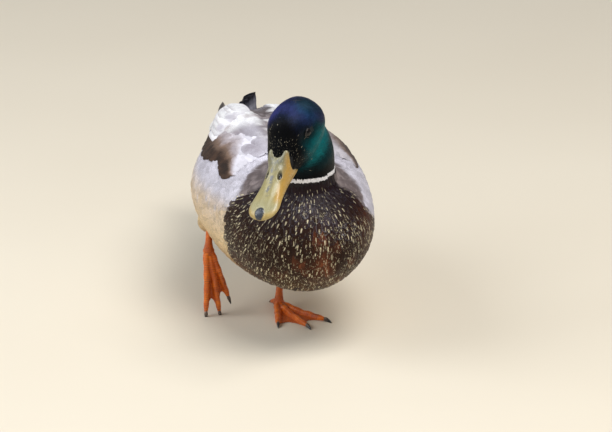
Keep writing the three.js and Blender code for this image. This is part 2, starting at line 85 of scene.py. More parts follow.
# ---------------------------------------------------------------- shape tables, as in the part
TRUNK = np.array([
    [-124, 101, 0.5, 0.5, 0.5, 2], [-120, 101, 21, 21, 21, 2], [-110, 101, 36, 35, 34, 2],
    [-92, 101, 50, 48, 48, 2], [-66, 101, 60.5, 54, 55, 2.05], [-34, 101, 67, 57, 60, 2.1],
    [0, 101, 71, 59, 61, 2.1], [34, 101, 71, 59, 60, 2.05], [68, 102, 64, 56, 51, 2],
    [98, 106, 51.5, 48.5, 39, 2], [124, 111, 39, 36.5, 28, 2.05], [146, 113, 29, 23.5, 19, 2.05],
    [166, 111, 21, 14, 13.5, 2], [184, 108.5, 14, 7.5, 8.5, 2], [197, 106.6, 7.5, 3.8, 4.8, 2],
    [203, 106, 0.5, 0.5, 0.5, 2]])
NECK = np.array([
    [0.3, -50, 112, 40, 38], [-1, -62, 132, 36, 34], [-3.3, -74, 150, 29.5, 29], [-3.7, -79, 164, 26.9, 27],
    [-4.1, -82, 178, 25.5, 26], [-6.6, -86, 192, 20.5, 21], [-10.8, -90, 203, 5, 5]])
HEAD = np.array([
    [-36, 2, 0.5, 0.5, 0.5, 2], [-34, 2, 11.8, 12.9, 11, 2], [-27, 2.5, 18.9, 24, 19.5, 2], [-15, 2.5, 21.9, 30.4, 23.5, 2.05],
    [-2, 2, 21.8, 27.8, 24, 2.1], [9, 0.5, 18.7, 25.8, 22, 2.1], [18, -1, 15, 18, 17.5, 2.1],
    [25, -2.5, 12.4, 12.5, 13, 2.1], [29, -4, 11, 9, 9.5, 2.1], [31, -4, 0.5, 0.5, 0.5, 2]])
BILL_UPPER = np.array([
    [15, -8, 8, 9, 0.6, 2], [20, -9, 10.2, 17, 0.8, 2.1], [26, -9.8, 10.8, 17.2, 0.8, 2.2], [33, -10.2, 10.2, 14.6, 0.8, 2.2],
    [41, -10.5, 9.8, 12.0, 0.8, 2.2], [50, -10.9, 10.4, 9.2, 0.8, 2.2], [59, -11.2, 11.8, 6.9, 0.8, 2.2],
    [67, -11.5, 12.9, 5.3, 0.8, 2.2], [73, -11.9, 12.6, 4.4, 0.8, 2.1], [78, -12.6, 10.2, 3.5, 0.8, 2],
    [81, -13.4, 5.6, 2.0, 0.8, 2], [82, -13.8, 0.4, 0.3, 0.3, 2]])
BILL_LOWER = np.array([
    [12, -12.5, 4, 1, 2, 2], [17, -12.4, 9.0, 1.8, 5.6, 2.2], [27, -12.9, 9.2, 1.8, 5.0, 2.2], [40, -13.4, 8.6, 1.8, 4.2, 2.2],
    [53, -14.0, 9.2, 1.6, 3.3, 2.2], [66, -14.5, 10.3, 1.3, 2.4, 2.2], [73, -14.9, 9.2, 1.0, 1.9, 2.1],
    [77.5, -15.3, 5.6, 0.7, 1.2, 2], [79, -15.6, 0.4, 0.3, 0.3, 2]])
HEAD_AT = np.array([-18.3, -99.7, 190.0])
YAW, PITCH, ROLL = map(math.radians, (36.8, -24.5, 6.0))
_hm = Matrix.Rotation(-YAW, 3, "Z") @ Matrix.Rotation(-PITCH, 3, "X") @ Matrix.Rotation(-ROLL, 3, "Y")
HF, HL, HU = (np.array(_hm @ Vector(v)) for v in ((0, -1, 0), (1, 0, 0), (0, 0, 1)))
EYE_AT, EYE_R = (-1.5, 14.1, 9.5), 5.2
LEG = {"L": ((5.5, 39, 45), (-3, 12, 7.5)), "R": ((-53, 57, 77), (-61.5, 22.5, 56))}
THIGH = {
    "L": [[32, 0, 82, 20, 20], [24, 15, 66, 21, 20], [16, 27, 54, 17, 16], [9.5, 35, 47, 11, 10], [6.5, 38, 42, 6, 6], [6, 38.5, 38, 1.5, 1.5]],
    "R": [[-35, 7, 94, 18, 16], [-44, 25, 86, 20, 18], [-52, 39, 78, 17, 16], [-57.5, 43, 71, 12, 11], [-60, 40, 67, 6, 6], [-61, 37, 65.5, 1.5, 1.5]]}
TOES = {"inner": 42, "middle": 53, "outer": 51}
CLAW = 7.5


def in_head(f, l, u):
    return HEAD_AT + np.multiply.outer(f, HF) + np.multiply.outer(l, HL) + np.multiply.outer(u, HU)


def head_coords(p):
    q = np.asarray(p) - HEAD_AT
    return q @ HF, q @ HL, q @ HU


def row(rows, u):
    rows = np.asarray(rows, float)
    n = len(rows) - 1
    u = np.atleast_1d(np.asarray(u, float))
    i = np.clip(np.floor(u).astype(int), 0, n - 1)
    t = (u - i)[:, None]
    a, b, c, d = (rows[np.clip(i + k, 0, n)] for k in (-1, 0, 1, 2))
    m0, m1, t2, t3 = (c - a) / 2, (d - b) / 2, t * t, t * t * t
    return (2 * t3 - 3 * t2 + 1) * b + (t3 - 2 * t2 + t) * m0 + (-2 * t3 + 3 * t2) * c + (t3 - t2) * m1


def spow(v, p):
    return np.sign(v) * np.abs(v) ** p


def ring_mesh(first, rings, last):
    """Closed skin over rings (m, n, 3) with a point at each end: verts, faces."""
    m, n, _ = rings.shape
    v = np.vstack([first[None], rings.reshape(-1, 3), last[None]])
    j = np.arange(n)
    jn = (j + 1) % n
    f = [(0, 1 + b, 1 + a) for a, b in zip(j, jn)]
    for i in range(m - 1):
        o = 1 + i * n
        f += [(o + a, o + b, o + n + b, o + n + a) for a, b in zip(j, jn)]
    o, e = 1 + (m - 1) * n, 1 + m * n
    f += [(e, o + a, o + b) for a, b in zip(j, jn)]
    return v, f


def loft(rows, at, fwd, side, up, along, around, tuck=None, shape=None, us=None):
    u = np.linspace(0, len(rows) - 1, along + 1)[1:-1] if us is None else us
    r = row(rows, u)
    th = np.linspace(0, 2 * np.pi, around, endpoint=False)
    c, q = np.cos(th), np.sin(th)
    e = r[:, 5][:, None]
    x = r[:, 2][:, None] * np.sign(c) * np.abs(c) ** (2 / e)
    z = r[:, 1][:, None] + np.where(q > 0, r[:, 3][:, None], r[:, 4][:, None]) * np.sign(q) * np.abs(q) ** (2 / e)
    s = np.repeat(r[:, 0][:, None], around, 1)
    if tuck is not None:
        x = tuck(x, s, z)
    if shape is not None:
        s, x, z = shape(s, x, z, th[None, :])
    at = np.asarray(at, float)
    P = at + s[..., None] * fwd + x[..., None] * side + z[..., None] * up
    a, b = row(rows, 0)[0], row(rows, len(rows) - 1)[0]
    return ring_mesh(at + a[0] * fwd + a[1] * up, P, at + b[0] * fwd + b[1] * up)


def limb(rows, around, along, hint=(0, 0, 1), flat=2.0, bump=None):
    rows = np.asarray(rows, float)
    n = len(rows) - 1
    u = np.linspace(0, n, along + 1)[1:-1]
    pos = lambda t: row(rows, t)[:, :3]
    t = unit(pos(np.minimum(n, u + 0.02)) - pos(np.maximum(0, u - 0.02)))
    s = unit(np.cross(t, np.asarray(hint, float)))
    w = unit(np.cross(s, t))
    r = row(rows, u)
    th = np.linspace(0, 2 * np.pi, around, endpoint=False)
    k = np.ones((len(u), around)) if bump is None else bump(u[:, None] / n, th[None, :])
    P = r[:, None, :3] + (r[:, 3][:, None] * spow(np.cos(th), 2 / flat) * k)[..., None] * s[:, None] + (r[:, 4][:, None] * spow(np.sin(th), 2 / flat) * k)[..., None] * w[:, None]
    return ring_mesh(pos([0])[0], P, pos([n])[0])


def sway(x, y, z):
    tuck = 5 * np.exp(-(((y - 80) / 30) ** 2) - ((z - 142) / 17) ** 2) * np.clip(-x / 22, 0, 1)
    return x - 2.8 * np.exp(-(((y - 38) / 50) ** 2) - ((z - 108) / 24) ** 2) + tuck


def orbit(x, f, u):
    lean = 5.1 * np.exp(-(((f + 21.4) / 13) ** 2)) * sm(-14, 16, u)
    return x * (1 - 0.17 * np.exp(-(((f - 5) / 11) ** 2) - ((u - 9) / 8) ** 2)) + lean


Z = np.array([0.0, 0, 0])
X_, Y_, Z_ = np.eye(3)

# ---------------------------------------------------------------- mesh helpers


def make_object(name, verts_mm, faces, mats=(), smooth=True):
    me = bpy.data.meshes.new(name)
    me.from_pydata([tuple(v) for v in (np.asarray(verts_mm) + SHIFT) * MM], [], [tuple(map(int, f)) for f in faces])
    me.update()
    ob = bpy.data.objects.new(name, me)
    bpy.context.scene.collection.objects.link(ob)
    for m in mats:
        me.materials.append(m)
    if smooth:
        me.shade_smooth()
    return ob


def join_parts(parts):
    vs, fs, o = [], [], 0
    for v, f in parts:
        vs.append(v)
        fs += [tuple(i + o for i in q) for q in f]
        o += len(v)
    return np.vstack(vs), fs


def outward(v, f):
    """Turns the faces of a closed piece to look out."""
    vol = 0.0
    v = np.asarray(v)
    for q in f:
        for k in range(1, len(q) - 1):
            vol += np.dot(v[q[0]], np.cross(v[q[k]], v[q[k + 1]]))
    return (v, f) if vol > 0 else (v, [q[::-1] for q in f])


def remeshed(name, v, f, voxel_mm, smooth_n=0, factor=0.5):
    """Unites the closed pieces into one skin; returns verts (mm) and faces (quads and triangles)."""
    ob = make_object(name + "_src", v, f)
    m = ob.modifiers.new("r", "REMESH")
    m.mode, m.voxel_size, m.adaptivity = "VOXEL", voxel_mm * MM, 0.0
    if smooth_n:
        s = ob.modifiers.new("s", "SMOOTH")
        s.factor, s.iterations = factor, smooth_n
    dg = bpy.context.evaluated_depsgraph_get()
    me = bpy.data.meshes.new_from_object(ob.evaluated_get(dg))
    co = np.empty(len(me.vertices) * 3)
    me.vertices.foreach_get("co", co)
    faces = [tuple(p.vertices) for p in me.polygons]
    bpy.data.objects.remove(ob, do_unlink=True)
    bpy.data.meshes.remove(me)
    return co.reshape(-1, 3) / MM - SHIFT, faces


def vertex_normals(v, f):
    n = np.zeros_like(v)
    q = np.array([x if len(x) == 4 else (*x, x[2]) for x in f])
    fn = np.cross(v[q[:, 2]] - v[q[:, 0]], v[q[:, 3]] - v[q[:, 1]])
    tri = q[:, 2] == q[:, 3]
    fn[tri] = np.cross(v[q[tri, 1]] - v[q[tri, 0]], v[q[tri, 2]] - v[q[tri, 0]])
    for k in range(4):
        np.add.at(n, q[:, k], fn)
    return unit(n)


def smooth_values(val, f, nv, n=1):
    """Averages per-vertex values over neighbours, n times."""
    q = np.array([x if len(x) == 4 else (*x, x[2]) for x in f])
    a = np.concatenate([q[:, k] for k in range(4)])
    b = np.concatenate([q[:, (k + 1) % 4] for k in range(4)])
    keep = a != b
    a, b = a[keep], b[keep]
    cnt = np.zeros(nv)
    np.add.at(cnt, a, 1)
    np.add.at(cnt, b, 1)
    cnt = np.maximum(cnt, 1)
    for _ in range(n):
        s = np.zeros_like(val)
        np.add.at(s, a, val[b])
        np.add.at(s, b, val[a])
        avg = s / (cnt[:, None] if val.ndim > 1 else cnt)
        val = 0.5 * val + 0.5 * avg
    return val


# ---------------------------------------------------------------- the body's skin
HEAD_AXES = (HEAD_AT, HF, HL, HU)
trunk_m = outward(*loft(TRUNK, Z, Y_, X_, Z_, 90, 96, tuck=sway))
tv = trunk_m[0]
tv[:, 2] -= 7 * np.exp(-((tv[:, 0] / 11.5) ** 2)) * sm(30, 86, tv[:, 1]) * sm(190, 150, tv[:, 1]) * sm(112, 124, tv[:, 2])
neck_m = outward(*limb(NECK, 56, 34, hint=(0, -1, 0)))
head_m = outward(*loft(HEAD, *HEAD_AXES, 60, 64, tuck=orbit))
thigh_m = [outward(*limb(THIGH[k], 32, 24)) for k in ("L", "R")]
sv, sf = join_parts([trunk_m, neck_m, head_m, *thigh_m])
sv, sf = remeshed("body", sv, sf, 2.0, 3, 0.5)
# The crease round the foot of the neck and under the chin fills with feathers: smooth it more there.
hf, hl, hu = head_coords(sv)
crease = np.exp(-(((sv[:, 2] - 150 + 0.15 * (sv[:, 1] + 80)) / 13) ** 2)) * sm(-150, -120, sv[:, 1]) * sm(-5, -35, sv[:, 1])
crease = np.maximum(crease, np.exp(-((hu + 17) / 7) ** 2) * sm(14, 2, hf) * (np.abs(hl) < 30) * sm(-60, -40, hf))
crease = np.maximum(crease, 0.9 * np.exp(-(((hf + 32) / 7.0) ** 2)) * (sv[:, 2] > 165) * sm(8, -4, hu))
thigh = np.exp(-(((sv - np.array([-52.0, 30, 84])) / np.array([14.0, 26, 18])) ** 2).sum(1))
crease = np.maximum(crease, 1.3 * thigh)
soft = smooth_values(sv.copy(), sf, len(sv), 26)
sv = sv + (soft - sv) * np.clip(crease, 0, 1)[:, None]
sn = vertex_normals(sv, sf)
hf, hl, hu = head_coords(sv)
q_head = np.sqrt((hf / 36) ** 2 + (hl / 23) ** 2 + (hu / 27) ** 2)
w_head = sm(1.25, 1.0, q_head) * (sv[:, 2] > 150)
depth = 1.7 * (1 - w_head) + 0.7 * w_head
w_neck = sm(142, 152, sv[:, 2]) * sm(-35, -55, sv[:, 1])
depth = np.minimum(depth, 1.7 * (1 - w_neck) + 1.2 * w_neck)
depth = np.where((hf > 18) & (w_head > 0.5), 0.6, depth)
depth = depth - 0.9 * sm(35, 58, sv[:, 0])
depth = smooth_values(depth, sf, len(sv), 4)
sv = sv - sn * depth[:, None]
sn = vertex_normals(sv, sf)
BVH = BVHTree.FromPolygons([tuple(v) for v in sv], sf)
SQ = np.array([x if len(x) == 4 else (*x, x[2]) for x in sf])


def snap(P):
    """Nearest skin points and smooth normals for P (..., 3)."""
    shp = P.shape
    P = P.reshape(-1, 3)
    n = len(P)
    loc = np.empty((n, 3))
    idx = np.empty(n, int)
    find = BVH.find_nearest
    for i, p in enumerate(P.tolist()):
        l, _, k, _ = find(p)
        loc[i] = l
        idx[i] = k
    q = SQ[idx]
    d = ((sv[q] - loc[:, None]) ** 2).sum(-1)
    w = 1 / (d + 0.15)
    nn = unit((sn[q] * w[..., None]).sum(1))
    return loc.reshape(shp), nn.reshape(shp)


# ---------------------------------------------------------------- lie of the feathers


def flow(P, N):
    """Which way the feathers lie at P: from the bill back over the head, down the neck, and back along the body."""
    hf, hl, hu = head_coords(P)
    q = np.sqrt((hf / 36) ** 2 + (hl / 23) ** 2 + (hu / 27) ** 2)
    wh = sm(1.35, 0.95, q) * sm(148, 160, P[..., 2])
    base = in_head(32.0, 0.0, -3.0)
    dh = unit(P - base) - 1.1 * HF + 0.15 * HL * np.sign(hl)[..., None] * 0 - 0.25 * HU * sm(2, -10, hu)[..., None]
    dn = np.array([0.05, 0.25, -0.97]) + 0 * P
    wn = sm(140, 156, P[..., 2]) * sm(-30, -50, P[..., 1])
    A = np.array([-4.0, -78, 168])
    b = 0.25 + 2.2 * sm(-95, 10, P[..., 1])
    dt = unit(P - A) + b[..., None] * Y_
    side = sm(40, 66, np.abs(P[..., 0])) * sm(-60, 0, P[..., 1]) * sm(95, 130, P[..., 2])
    dt = dt + side[..., None] * np.array([0, 0, -0.25])
    rear = sm(90, 150, P[..., 1])
    dt = dt + rear[..., None] * (-0.5 * X_ * (P[..., 0] / 30)[..., None])
    d = dt * (1 - wn)[..., None] + dn * wn[..., None]
    d = unit(d) * (1 - wh)[..., None] + unit(dh) * wh[..., None]
    d = d - N * (d * N).sum(-1, keepdims=True)
    return unit(d)


# ---------------------------------------------------------------- markings
C = dict(
    teal=rgb(0, 104, 110), green=rgb(3, 50, 58), deep=rgb(2, 16, 20), black=rgb(4, 5, 8), blue=rgb(30, 42, 84),
    purple=rgb(92, 54, 122), collar=rgb(236, 234, 238), chest=rgb(38, 18, 8), chest2=rgb(66, 30, 12), chest3=rgb(26, 12, 18),
    dash=rgb(232, 220, 184), dashblue=rgb(186, 194, 214), white=rgb(250, 250, 252), lav=rgb(208, 205, 217), grey=rgb(172, 167, 178),
    # tan is painted shade with a warm painted reflection, used low on the belly
    mantle=rgb(80, 64, 58), brown=rgb(84, 62, 48), brownl=rgb(132, 116, 108), stain=rgb(222, 192, 140), tan=rgb(150, 110, 56),
    rump=rgb(14, 16, 18), tailw=rgb(238, 234, 228), tailc=rgb(150, 138, 126), prim=rgb(58, 50, 48), spec=rgb(28, 52, 150))


def mix(a, b, w):
    return a * (1 - w[..., None]) + b * w[..., None]


def const(c, like):
    return np.broadcast_to(c, like.shape).copy()


YB_Z = [40, 55, 70, 85, 100, 112, 124, 135, 150, 162]
YB_R = [-48, -44, -40, -46, -48, -47, -54, -66, -78, -86]
YB_L = [-55, -58, -60, -60, -62, -80, -88, -87, -88, -92]


def chest_edge(P):
    """How far (mm) P lies in front of the line where the chestnut breast ends. The neck is turned to the
    right, which draws the line further back on the right side than on the left."""
    left = sm(-12, 26, P[..., 0])
    yb = np.interp(P[..., 2], YB_Z, YB_R) * (1 - left) + np.interp(P[..., 2], YB_Z, YB_L) * left
    return yb - P[..., 1]


COLLAR_Z = 155.5


def collar_h(P):
    return P[..., 2] - (COLLAR_Z + 0.13 * (P[..., 1] + 94) + 0.05 * P[..., 0])


def markings(P, jit=0.0):
    """Base colour of the plumage at P, in linear RGB."""
    x, y, z = P[..., 0], P[..., 1], P[..., 2]
    n1 = fbm(P / 22.0, 3)
    n2 = fbm(P / 7.0, 9)
    s = np.abs(x)
    # body: grey sides and belly
    col = const(C["lav"], P)
    col = mix(col, const(C["grey"], P), 0.55 * sm(0.35, 0.75, n1))
    low = sm(np.where(x < 0, 116, 104), 76, z + 16 * (n1 - 0.5))
    low = np.maximum(low, 0.8 * sm(118, 100, z) * sm(0.50, 0.62, n1) * sm(0.35, 0.6, n2) * (x < 0))
    col = mix(col, const(C["stain"], P), 0.9 * low * sm(-70, -40, y) * sm(130, 80, y))
    col = mix(col, const(C["stain"], P), 0.6 * sm(126, 108, z) * sm(-48, -62, x) * sm(0.3, 0.55, n2 + 0.2 * n1))
    # painted shade with a warm painted reflection: darker warm tan low on the belly, at the front and on the right
    col = mix(col, const(C["tan"], P), 0.85 * sm(84, 52, z) * sm(0.15, 0.5, n2) * sm(64, 24, y) * sm(24, 0, x))
    # back
    e0 = chest_edge(P) + 5 * (n2 - 0.5)
    wid = np.where(x > 0, 15 + 1.2 * (z - 135), 12 + 1.6 * (z - 135)) + 8 * (n1 - 0.5)
    wid = np.clip(wid, 0, 46)
    up = sm(-wid - 5, -wid + 3, e0) * sm(112, 122, z)
    up = np.maximum(up, sm(140, 148, z) * sm(24, 10, s + 4 * (n2 - 0.5)) * sm(118, 96, y) * 0.85)
    col = mix(col, mix(const(C["mantle"], P), const(rgb(128, 114, 110), P), sm(0.45, 0.65, fbm(P / 5.0, 14))), 0.92 * up)
    # rump and the coverts under and over the tail
    rump = np.maximum(sm(112, 128, y + 4 * (n2 - 0.5)) * sm(112, 124, z), sm(126, 138, y + 4 * (n2 - 0.5)))
    col = mix(col, const(C["rump"], P), rump)
    # breast
    e = chest_edge(P) + jit
    ch = mix(const(C["chest"], P), const(C["chest2"], P), sm(0.5, 0.75, n1) * sm(130, 90, z) * 0.9)
    ch = mix(ch, const(C["chest3"], P), sm(118, 140, z) * 0.9)
    ch = mix(ch, const(C["chest2"], P), 0.7 * sm(30, 50, x) * sm(95, 110, z) * sm(140, 122, z))
    body = mix(col, ch, sm(-2.5, 2.5, e))
    # neck and head. On the green head, painted iridescent sheen gives the teal cheek, the navy and blue crown and the
    # purple at the back of the crown; the face towards the bill, the underside of the head and the ring round the eye
    # go black, and the neck is black, dark green higher up except on its right side.
    h = collar_h(P) + 0.35 * jit
    neck = mix(const(C["black"], P), const(rgb(2, 44, 50), P), sm(6, 20, h) * sm(-30, 0, x))
    hf, hl, hu = head_coords(P)
    q = np.sqrt((hf / 36) ** 2 + (hl / 23) ** 2 + (hu / 27) ** 2)
    head = const(C["green"], P)
    # painted sheen: teal on the cheek
    cheek = np.exp(-(((hf + 12) / 19) ** 4) - ((hu + 8) / 14.5) ** 4)
    head = mix(head, const(C["teal"], P), cheek)
    # painted sheen: navy over the crown, blue towards the back and on the right, with a teal-blue glint on the left
    crown = sm(8, 17, hu + 0.15 * hf)
    navy = mix(const(rgb(18, 30, 52), P), const(rgb(52, 56, 116), P), np.clip(0.9 * sm(2, -14, hf) + 0.9 * sm(2, 12, -hl) * sm(12, 22, hu) + 0.5 * (n2 - 0.4), 0, 1))
    navy = mix(navy, const(rgb(8, 66, 92), P), 0.8 * np.exp(-(((hf + 13) / 6.5) ** 2) - ((hl - 15) / 8) ** 2) * sm(6, 12, hu))
    head = mix(head, navy, crown)
    # painted sheen: purple at the back of the crown, mostly on its left
    head = mix(head, const(C["purple"], P), sm(-10, -22, hf) * sm(3, 12, hu) * sm(-8, 12, hl) * 0.9)
    face = sm(2, 15, hf + 0.25 * hu - 0.12 * np.abs(hl))
    head = mix(head, const(C["black"], P), np.clip(face, 0, 1))
    under = sm(-18, -26, hu)
    head = mix(head, const(C["black"], P), 0.85 * under)
    eye = np.exp(-(((hf - EYE_AT[0] - 2) / 9.5) ** 2) - ((hu - EYE_AT[2]) / 7.5) ** 2)
    head = mix(head, const(C["black"], P), 0.95 * eye)
    wh = sm(1.35, 1.05, q) * sm(150, 162, z)
    top = mix(neck, head, wh)
    isneck = ((z > 140) & (y < -30)).astype(float)
    out = mix(body, const(C["collar"], P), isneck * sm(-1.2, -0.7, h) * sm(75, 60, np.abs(y + 20)))
    out = mix(out, top, isneck * sm(0.9, 1.5, h))
    return out


# ---------------------------------------------------------------- placing feathers
FACE_C = sv[SQ].mean(1)
_a = sv[SQ[:, 1]] - sv[SQ[:, 0]]
_b = sv[SQ[:, 3]] - sv[SQ[:, 0]]
FACE_A = np.linalg.norm(np.cross(_a, _b), axis=1)
FACE_N = unit(sn[SQ].mean(1))


def scatter(mask, r, seed, tries=7):
    """Blue-noise roots on the skin where mask(P) holds, r mm apart (a number or a function of P)."""
    rng = np.random.default_rng(seed)
    rf = r(FACE_C) if callable(r) else np.full(len(FACE_C), float(r))
    keep = mask(FACE_C)
    w = np.where(keep, FACE_A / rf**2, 0)
    n = int(w.sum() * tries)
    if n == 0:
        return np.zeros((0, 3)), np.zeros((0, 3))
    k = rng.choice(len(FACE_C), n, p=w / w.sum())
    u, v = rng.random((2, n, 1))
    q = SQ[k]
    P = (1 - u) * (1 - v) * sv[q[:, 0]] + u * (1 - v) * sv[q[:, 1]] + u * v * sv[q[:, 2]] + (1 - u) * v * sv[q[:, 3]]
    R = rf[k]
    cell = R.max()
    grid = {}
    got = []
    pl = P.tolist()
    for i in range(n):
        p = pl[i]
        a, b, c = int(p[0] // cell), int(p[1] // cell), int(p[2] // cell)
        r2 = R[i] ** 2
        ok = True
        for dx in (-1, 0, 1):
            for dy in (-1, 0, 1):
                for dz in (-1, 0, 1):
                    for j in grid.get((a + dx, b + dy, c + dz), ()):
                        o = pl[j]
                        if (o[0] - p[0]) ** 2 + (o[1] - p[1]) ** 2 + (o[2] - p[2]) ** 2 < r2:
                            ok = False
                            break
                    if not ok:
                        break
                if not ok:
                    break
            if not ok:
                break
        if ok:
            grid.setdefault((a, b, c), []).append(i)
            got.append(i)
    got = np.array(got, int)
    P = P[got]
    N = unit((sn[SQ[k[got]]]).mean(1))
    return P, N


COATS = {}


def lens_faces(nv, nu):
    """Vertex count, faces and rim positions of one thin closed vane."""
    top = lambda i, j: i * nu + j
    inner = nv * nu

    def bot(i, j):
        if i in (0, nv - 1) or j in (0, nu - 1):
            return top(i, j)
        return inner + (i - 1) * (nu - 2) + (j - 1)

    f = []
    for i in range(nv - 1):
        for j in range(nu - 1):
            f.append((top(i, j), top(i, j + 1), top(i + 1, j + 1), top(i + 1, j)))
            f.append((bot(i, j), bot(i + 1, j), bot(i + 1, j + 1), bot(i, j + 1)))
    rim = [(0, j) for j in range(nu)] + [(i, nu - 1) for i in range(1, nv)] + [(nv - 1, j) for j in range(nu - 2, -1, -1)] + [(i, 0) for i in range(nv - 2, 0, -1)]
    n = inner + (nv - 2) * (nu - 2)
    ring = np.full(n, -1)
    for k, (i, j) in enumerate(rim):
        ring[top(i, j)] = k
    return n, np.array(f), ring, len(rim)


def widths(kind, v):
    """Half width along a vane, as a share of its greatest."""
    if kind == "round":  # body contour feather
        return (0.42 + 0.58 * np.sin(np.pi / 2 * np.clip(v / 0.6, 0, 1))) * np.sqrt(np.clip(1 - (np.clip((v - 0.5) / 0.515, 0, 1)) ** 2.3, 0, 1))
    if kind == "long":  # flight feather
        return (0.45 + 0.55 * sm(0, 0.3, v)) * np.sqrt(np.clip(1 - (np.clip((v - 0.68) / 0.33, 0, 1)) ** 2.2, 0, 1))
    if kind == "curl":  # broad where it lies flat, drawn out to a point where it rolls over
        return (0.6 + 0.4 * sm(0, 0.25, v)) * np.clip(1 - sm(0.66, 1.12, v), 0.03, 1)
    if kind == "point":
        return (0.4 + 0.6 * np.sin(np.pi / 2 * np.clip(v / 0.5, 0, 1))) * np.clip(1 - (np.clip((v - 0.42) / 0.6, 0, 1)) ** 1.7, 0.02, 1)
    return np.ones_like(v)


def vanes(piece, P, N, D, L, W, nv, nu, h0=0.0, slope=0.06, camber=0.12, thick=0.12, kind="round", col=None, tip=None,
          fx=(0, 0, 0), conform=True, lift=0.0, rnd=0.12, skew=0.1, per_vertex=None, free=None, curl_edge=0.0, path=None):
    """Adds a batch of vanes to a coat piece. P, N, D: roots, skin normals and directions. L, W in mm.
    col/tip: colours per vane; per_vertex(P) gives base colours at each point instead; fx: (streak, fringe, wave) per vane."""
    n = len(P)
    if n == 0:
        return
    L = np.broadcast_to(L, n).astype(float)
    W = np.broadcast_to(W, n).astype(float)
    h0 = np.broadcast_to(h0, n).astype(float) + RNG.normal(0, rnd, n)
    v = np.linspace(0, 1, nv) ** 0.9
    v = v * (0.992 if kind != "square" else 1.0)
    u = np.linspace(-1, 1, nu)
    wv = widths(kind, v)
    bend = RNG.normal(0, skew, n)
    spine = np.empty((n, nv, 3))
    nrm = np.empty((n, nv, 3))
    dirs = np.empty((n, nv, 3))
    p, nn, d = P.copy(), N.copy(), D.copy()
    b0 = np.cross(nn, d)
    d = unit(d + b0 * (bend * 0.6)[:, None])
    if path is not None:
        spine, nrm = path
        dirs = unit(np.gradient(spine, axis=1))
        conform = False
    for i in range(nv if path is None else 0):
        if i:
            ds = (v[i] - v[i - 1]) * L
            p = p + d * ds[:, None]
            if conform:
                p2, n2 = snap(p)
                d = d - n2 * (d * n2).sum(-1, keepdims=True)
                d = unit(d + 0.15 * flow(p2, n2)) if conform == "flow" else unit(d)
                p, nn = p2, n2
        spine[:, i], nrm[:, i], dirs[:, i] = p, nn, d
    b = unit(np.cross(nrm, dirs))
    off = u[None, None, :] * wv[None, :, None] * (W / 2)[:, None, None]
    G = spine[:, :, None] + b[:, :, None] * off[..., None]
    NN = np.broadcast_to(nrm[:, :, None], G.shape).copy()
    if conform and nu > 2:
        side = [j for j in range(nu) if abs(u[j]) > 1e-6]
        g2, n2 = snap(G[:, :, side])
        G[:, :, side], NN[:, :, side] = g2, n2
    s = v[None, :] * L[:, None]
    H = h0[:, None] + slope * s + lift * (v[None, :] ** 3) * L[:, None]
    H = H[..., None] - camber * (u[None, None, :] ** 2) * (wv[None, :, None] * W[:, None, None] / 2) * sm(0.0, 0.35, v)[None, :, None]
    H = H + curl_edge * RNG.normal(0, 1, (n, 1, 1)) * u[None, None, :] * wv[None, :, None]
    fade = (np.sin(np.pi * np.clip(v, 0, 1)) ** 0.35)[None, :, None]
    T = thick * (1 - u[None, None, :] ** 2) * fade
    top = G + NN * (H + T)[..., None]
    bot = G + NN * (H - T)[..., None]
    if free is not None:
        top, bot = free(top, v, u), free(bot, v, u)
    cnt, F, ring, rl = lens_faces(nv, nu)
    V = np.concatenate([top.reshape(n, -1, 3), bot[:, 1:-1, 1:-1].reshape(n, -1, 3)], 1)
    fu = np.broadcast_to(u[None, None, :], (n, nv, nu))
    fv = np.broadcast_to(v[None, :, None], (n, nv, nu))
    FU = np.concatenate([fu.reshape(n, -1), fu[:, 1:-1, 1:-1].reshape(n, -1)], 1)
    FV = np.concatenate([fv.reshape(n, -1), fv[:, 1:-1, 1:-1].reshape(n, -1)], 1)
    rand = np.repeat(RNG.random(n)[:, None], cnt, 1)
    if per_vertex is not None:
        colv = per_vertex(V.reshape(-1, 3), FU.reshape(-1), FV.reshape(-1)).reshape(n, cnt, 3)
        if col is not None:
            colv = colv * col[:, None]
    else:
        colv = np.repeat(np.broadcast_to(col, (n, 3))[:, None], cnt, 1)
    tipv = np.repeat(np.broadcast_to(tip if tip is not None else colv[:, 0], (n, 3))[:, None], cnt, 1)
    fx = [np.broadcast_to(x, n) for x in fx]
    FX = np.repeat(np.stack(fx, -1)[:, None], cnt, 1)
    base = COATS.setdefault(piece, dict(V=[], F=[], RING=[], RL=[], FL=[], COL=[], TIP=[], FX=[], SZ=[], ROOT=[], n=0))
    ofs = base["n"] + np.arange(n)[:, None, None] * cnt
    base["V"].append(V.reshape(-1, 3))
    base["F"].append((F[None] + ofs).reshape(-1, 4))
    base["RING"].append(np.tile(ring, n))
    base["RL"].append(np.full(n * cnt, rl))
    base["FL"].append(np.stack([FU, FV, rand], -1).reshape(-1, 3))
    base["COL"].append(colv.reshape(-1, 3))
    base["TIP"].append(tipv.reshape(-1, 3))
    base["FX"].append(FX.reshape(-1, 3))
    base["SZ"].append(np.repeat(np.stack([L, W, 0 * L], -1)[:, None], cnt, 1).reshape(-1, 3))
    base["ROOT"].append(np.repeat(P[:, None], cnt, 1).reshape(-1, 3))
    base["n"] += n * cnt


def unwrap(root):
    """Where a root lies on the body's own unwrap: head and neck in one chart, the rest in another."""
    x, y, z = root[:, 0], root[:, 1], root[:, 2]
    a = np.arctan2(x, z - 105) / (2 * np.pi) + 0.5
    b = (y + 130) / 380
    hf, hl, hu = head_coords(root)
    ha = np.arctan2(hl, hu) / (2 * np.pi) + 0.5
    hb = (hf + 45) / 90
    up = (z > 158) & (y < -50)
    uu = np.where(up, 0.03 + 0.94 * ha, 0.03 + 0.94 * a)
    vv = np.where(up, 0.74 + 0.24 * np.clip(hb, 0, 1), 0.02 + 0.70 * np.clip(b, 0, 1))
    return uu, vv


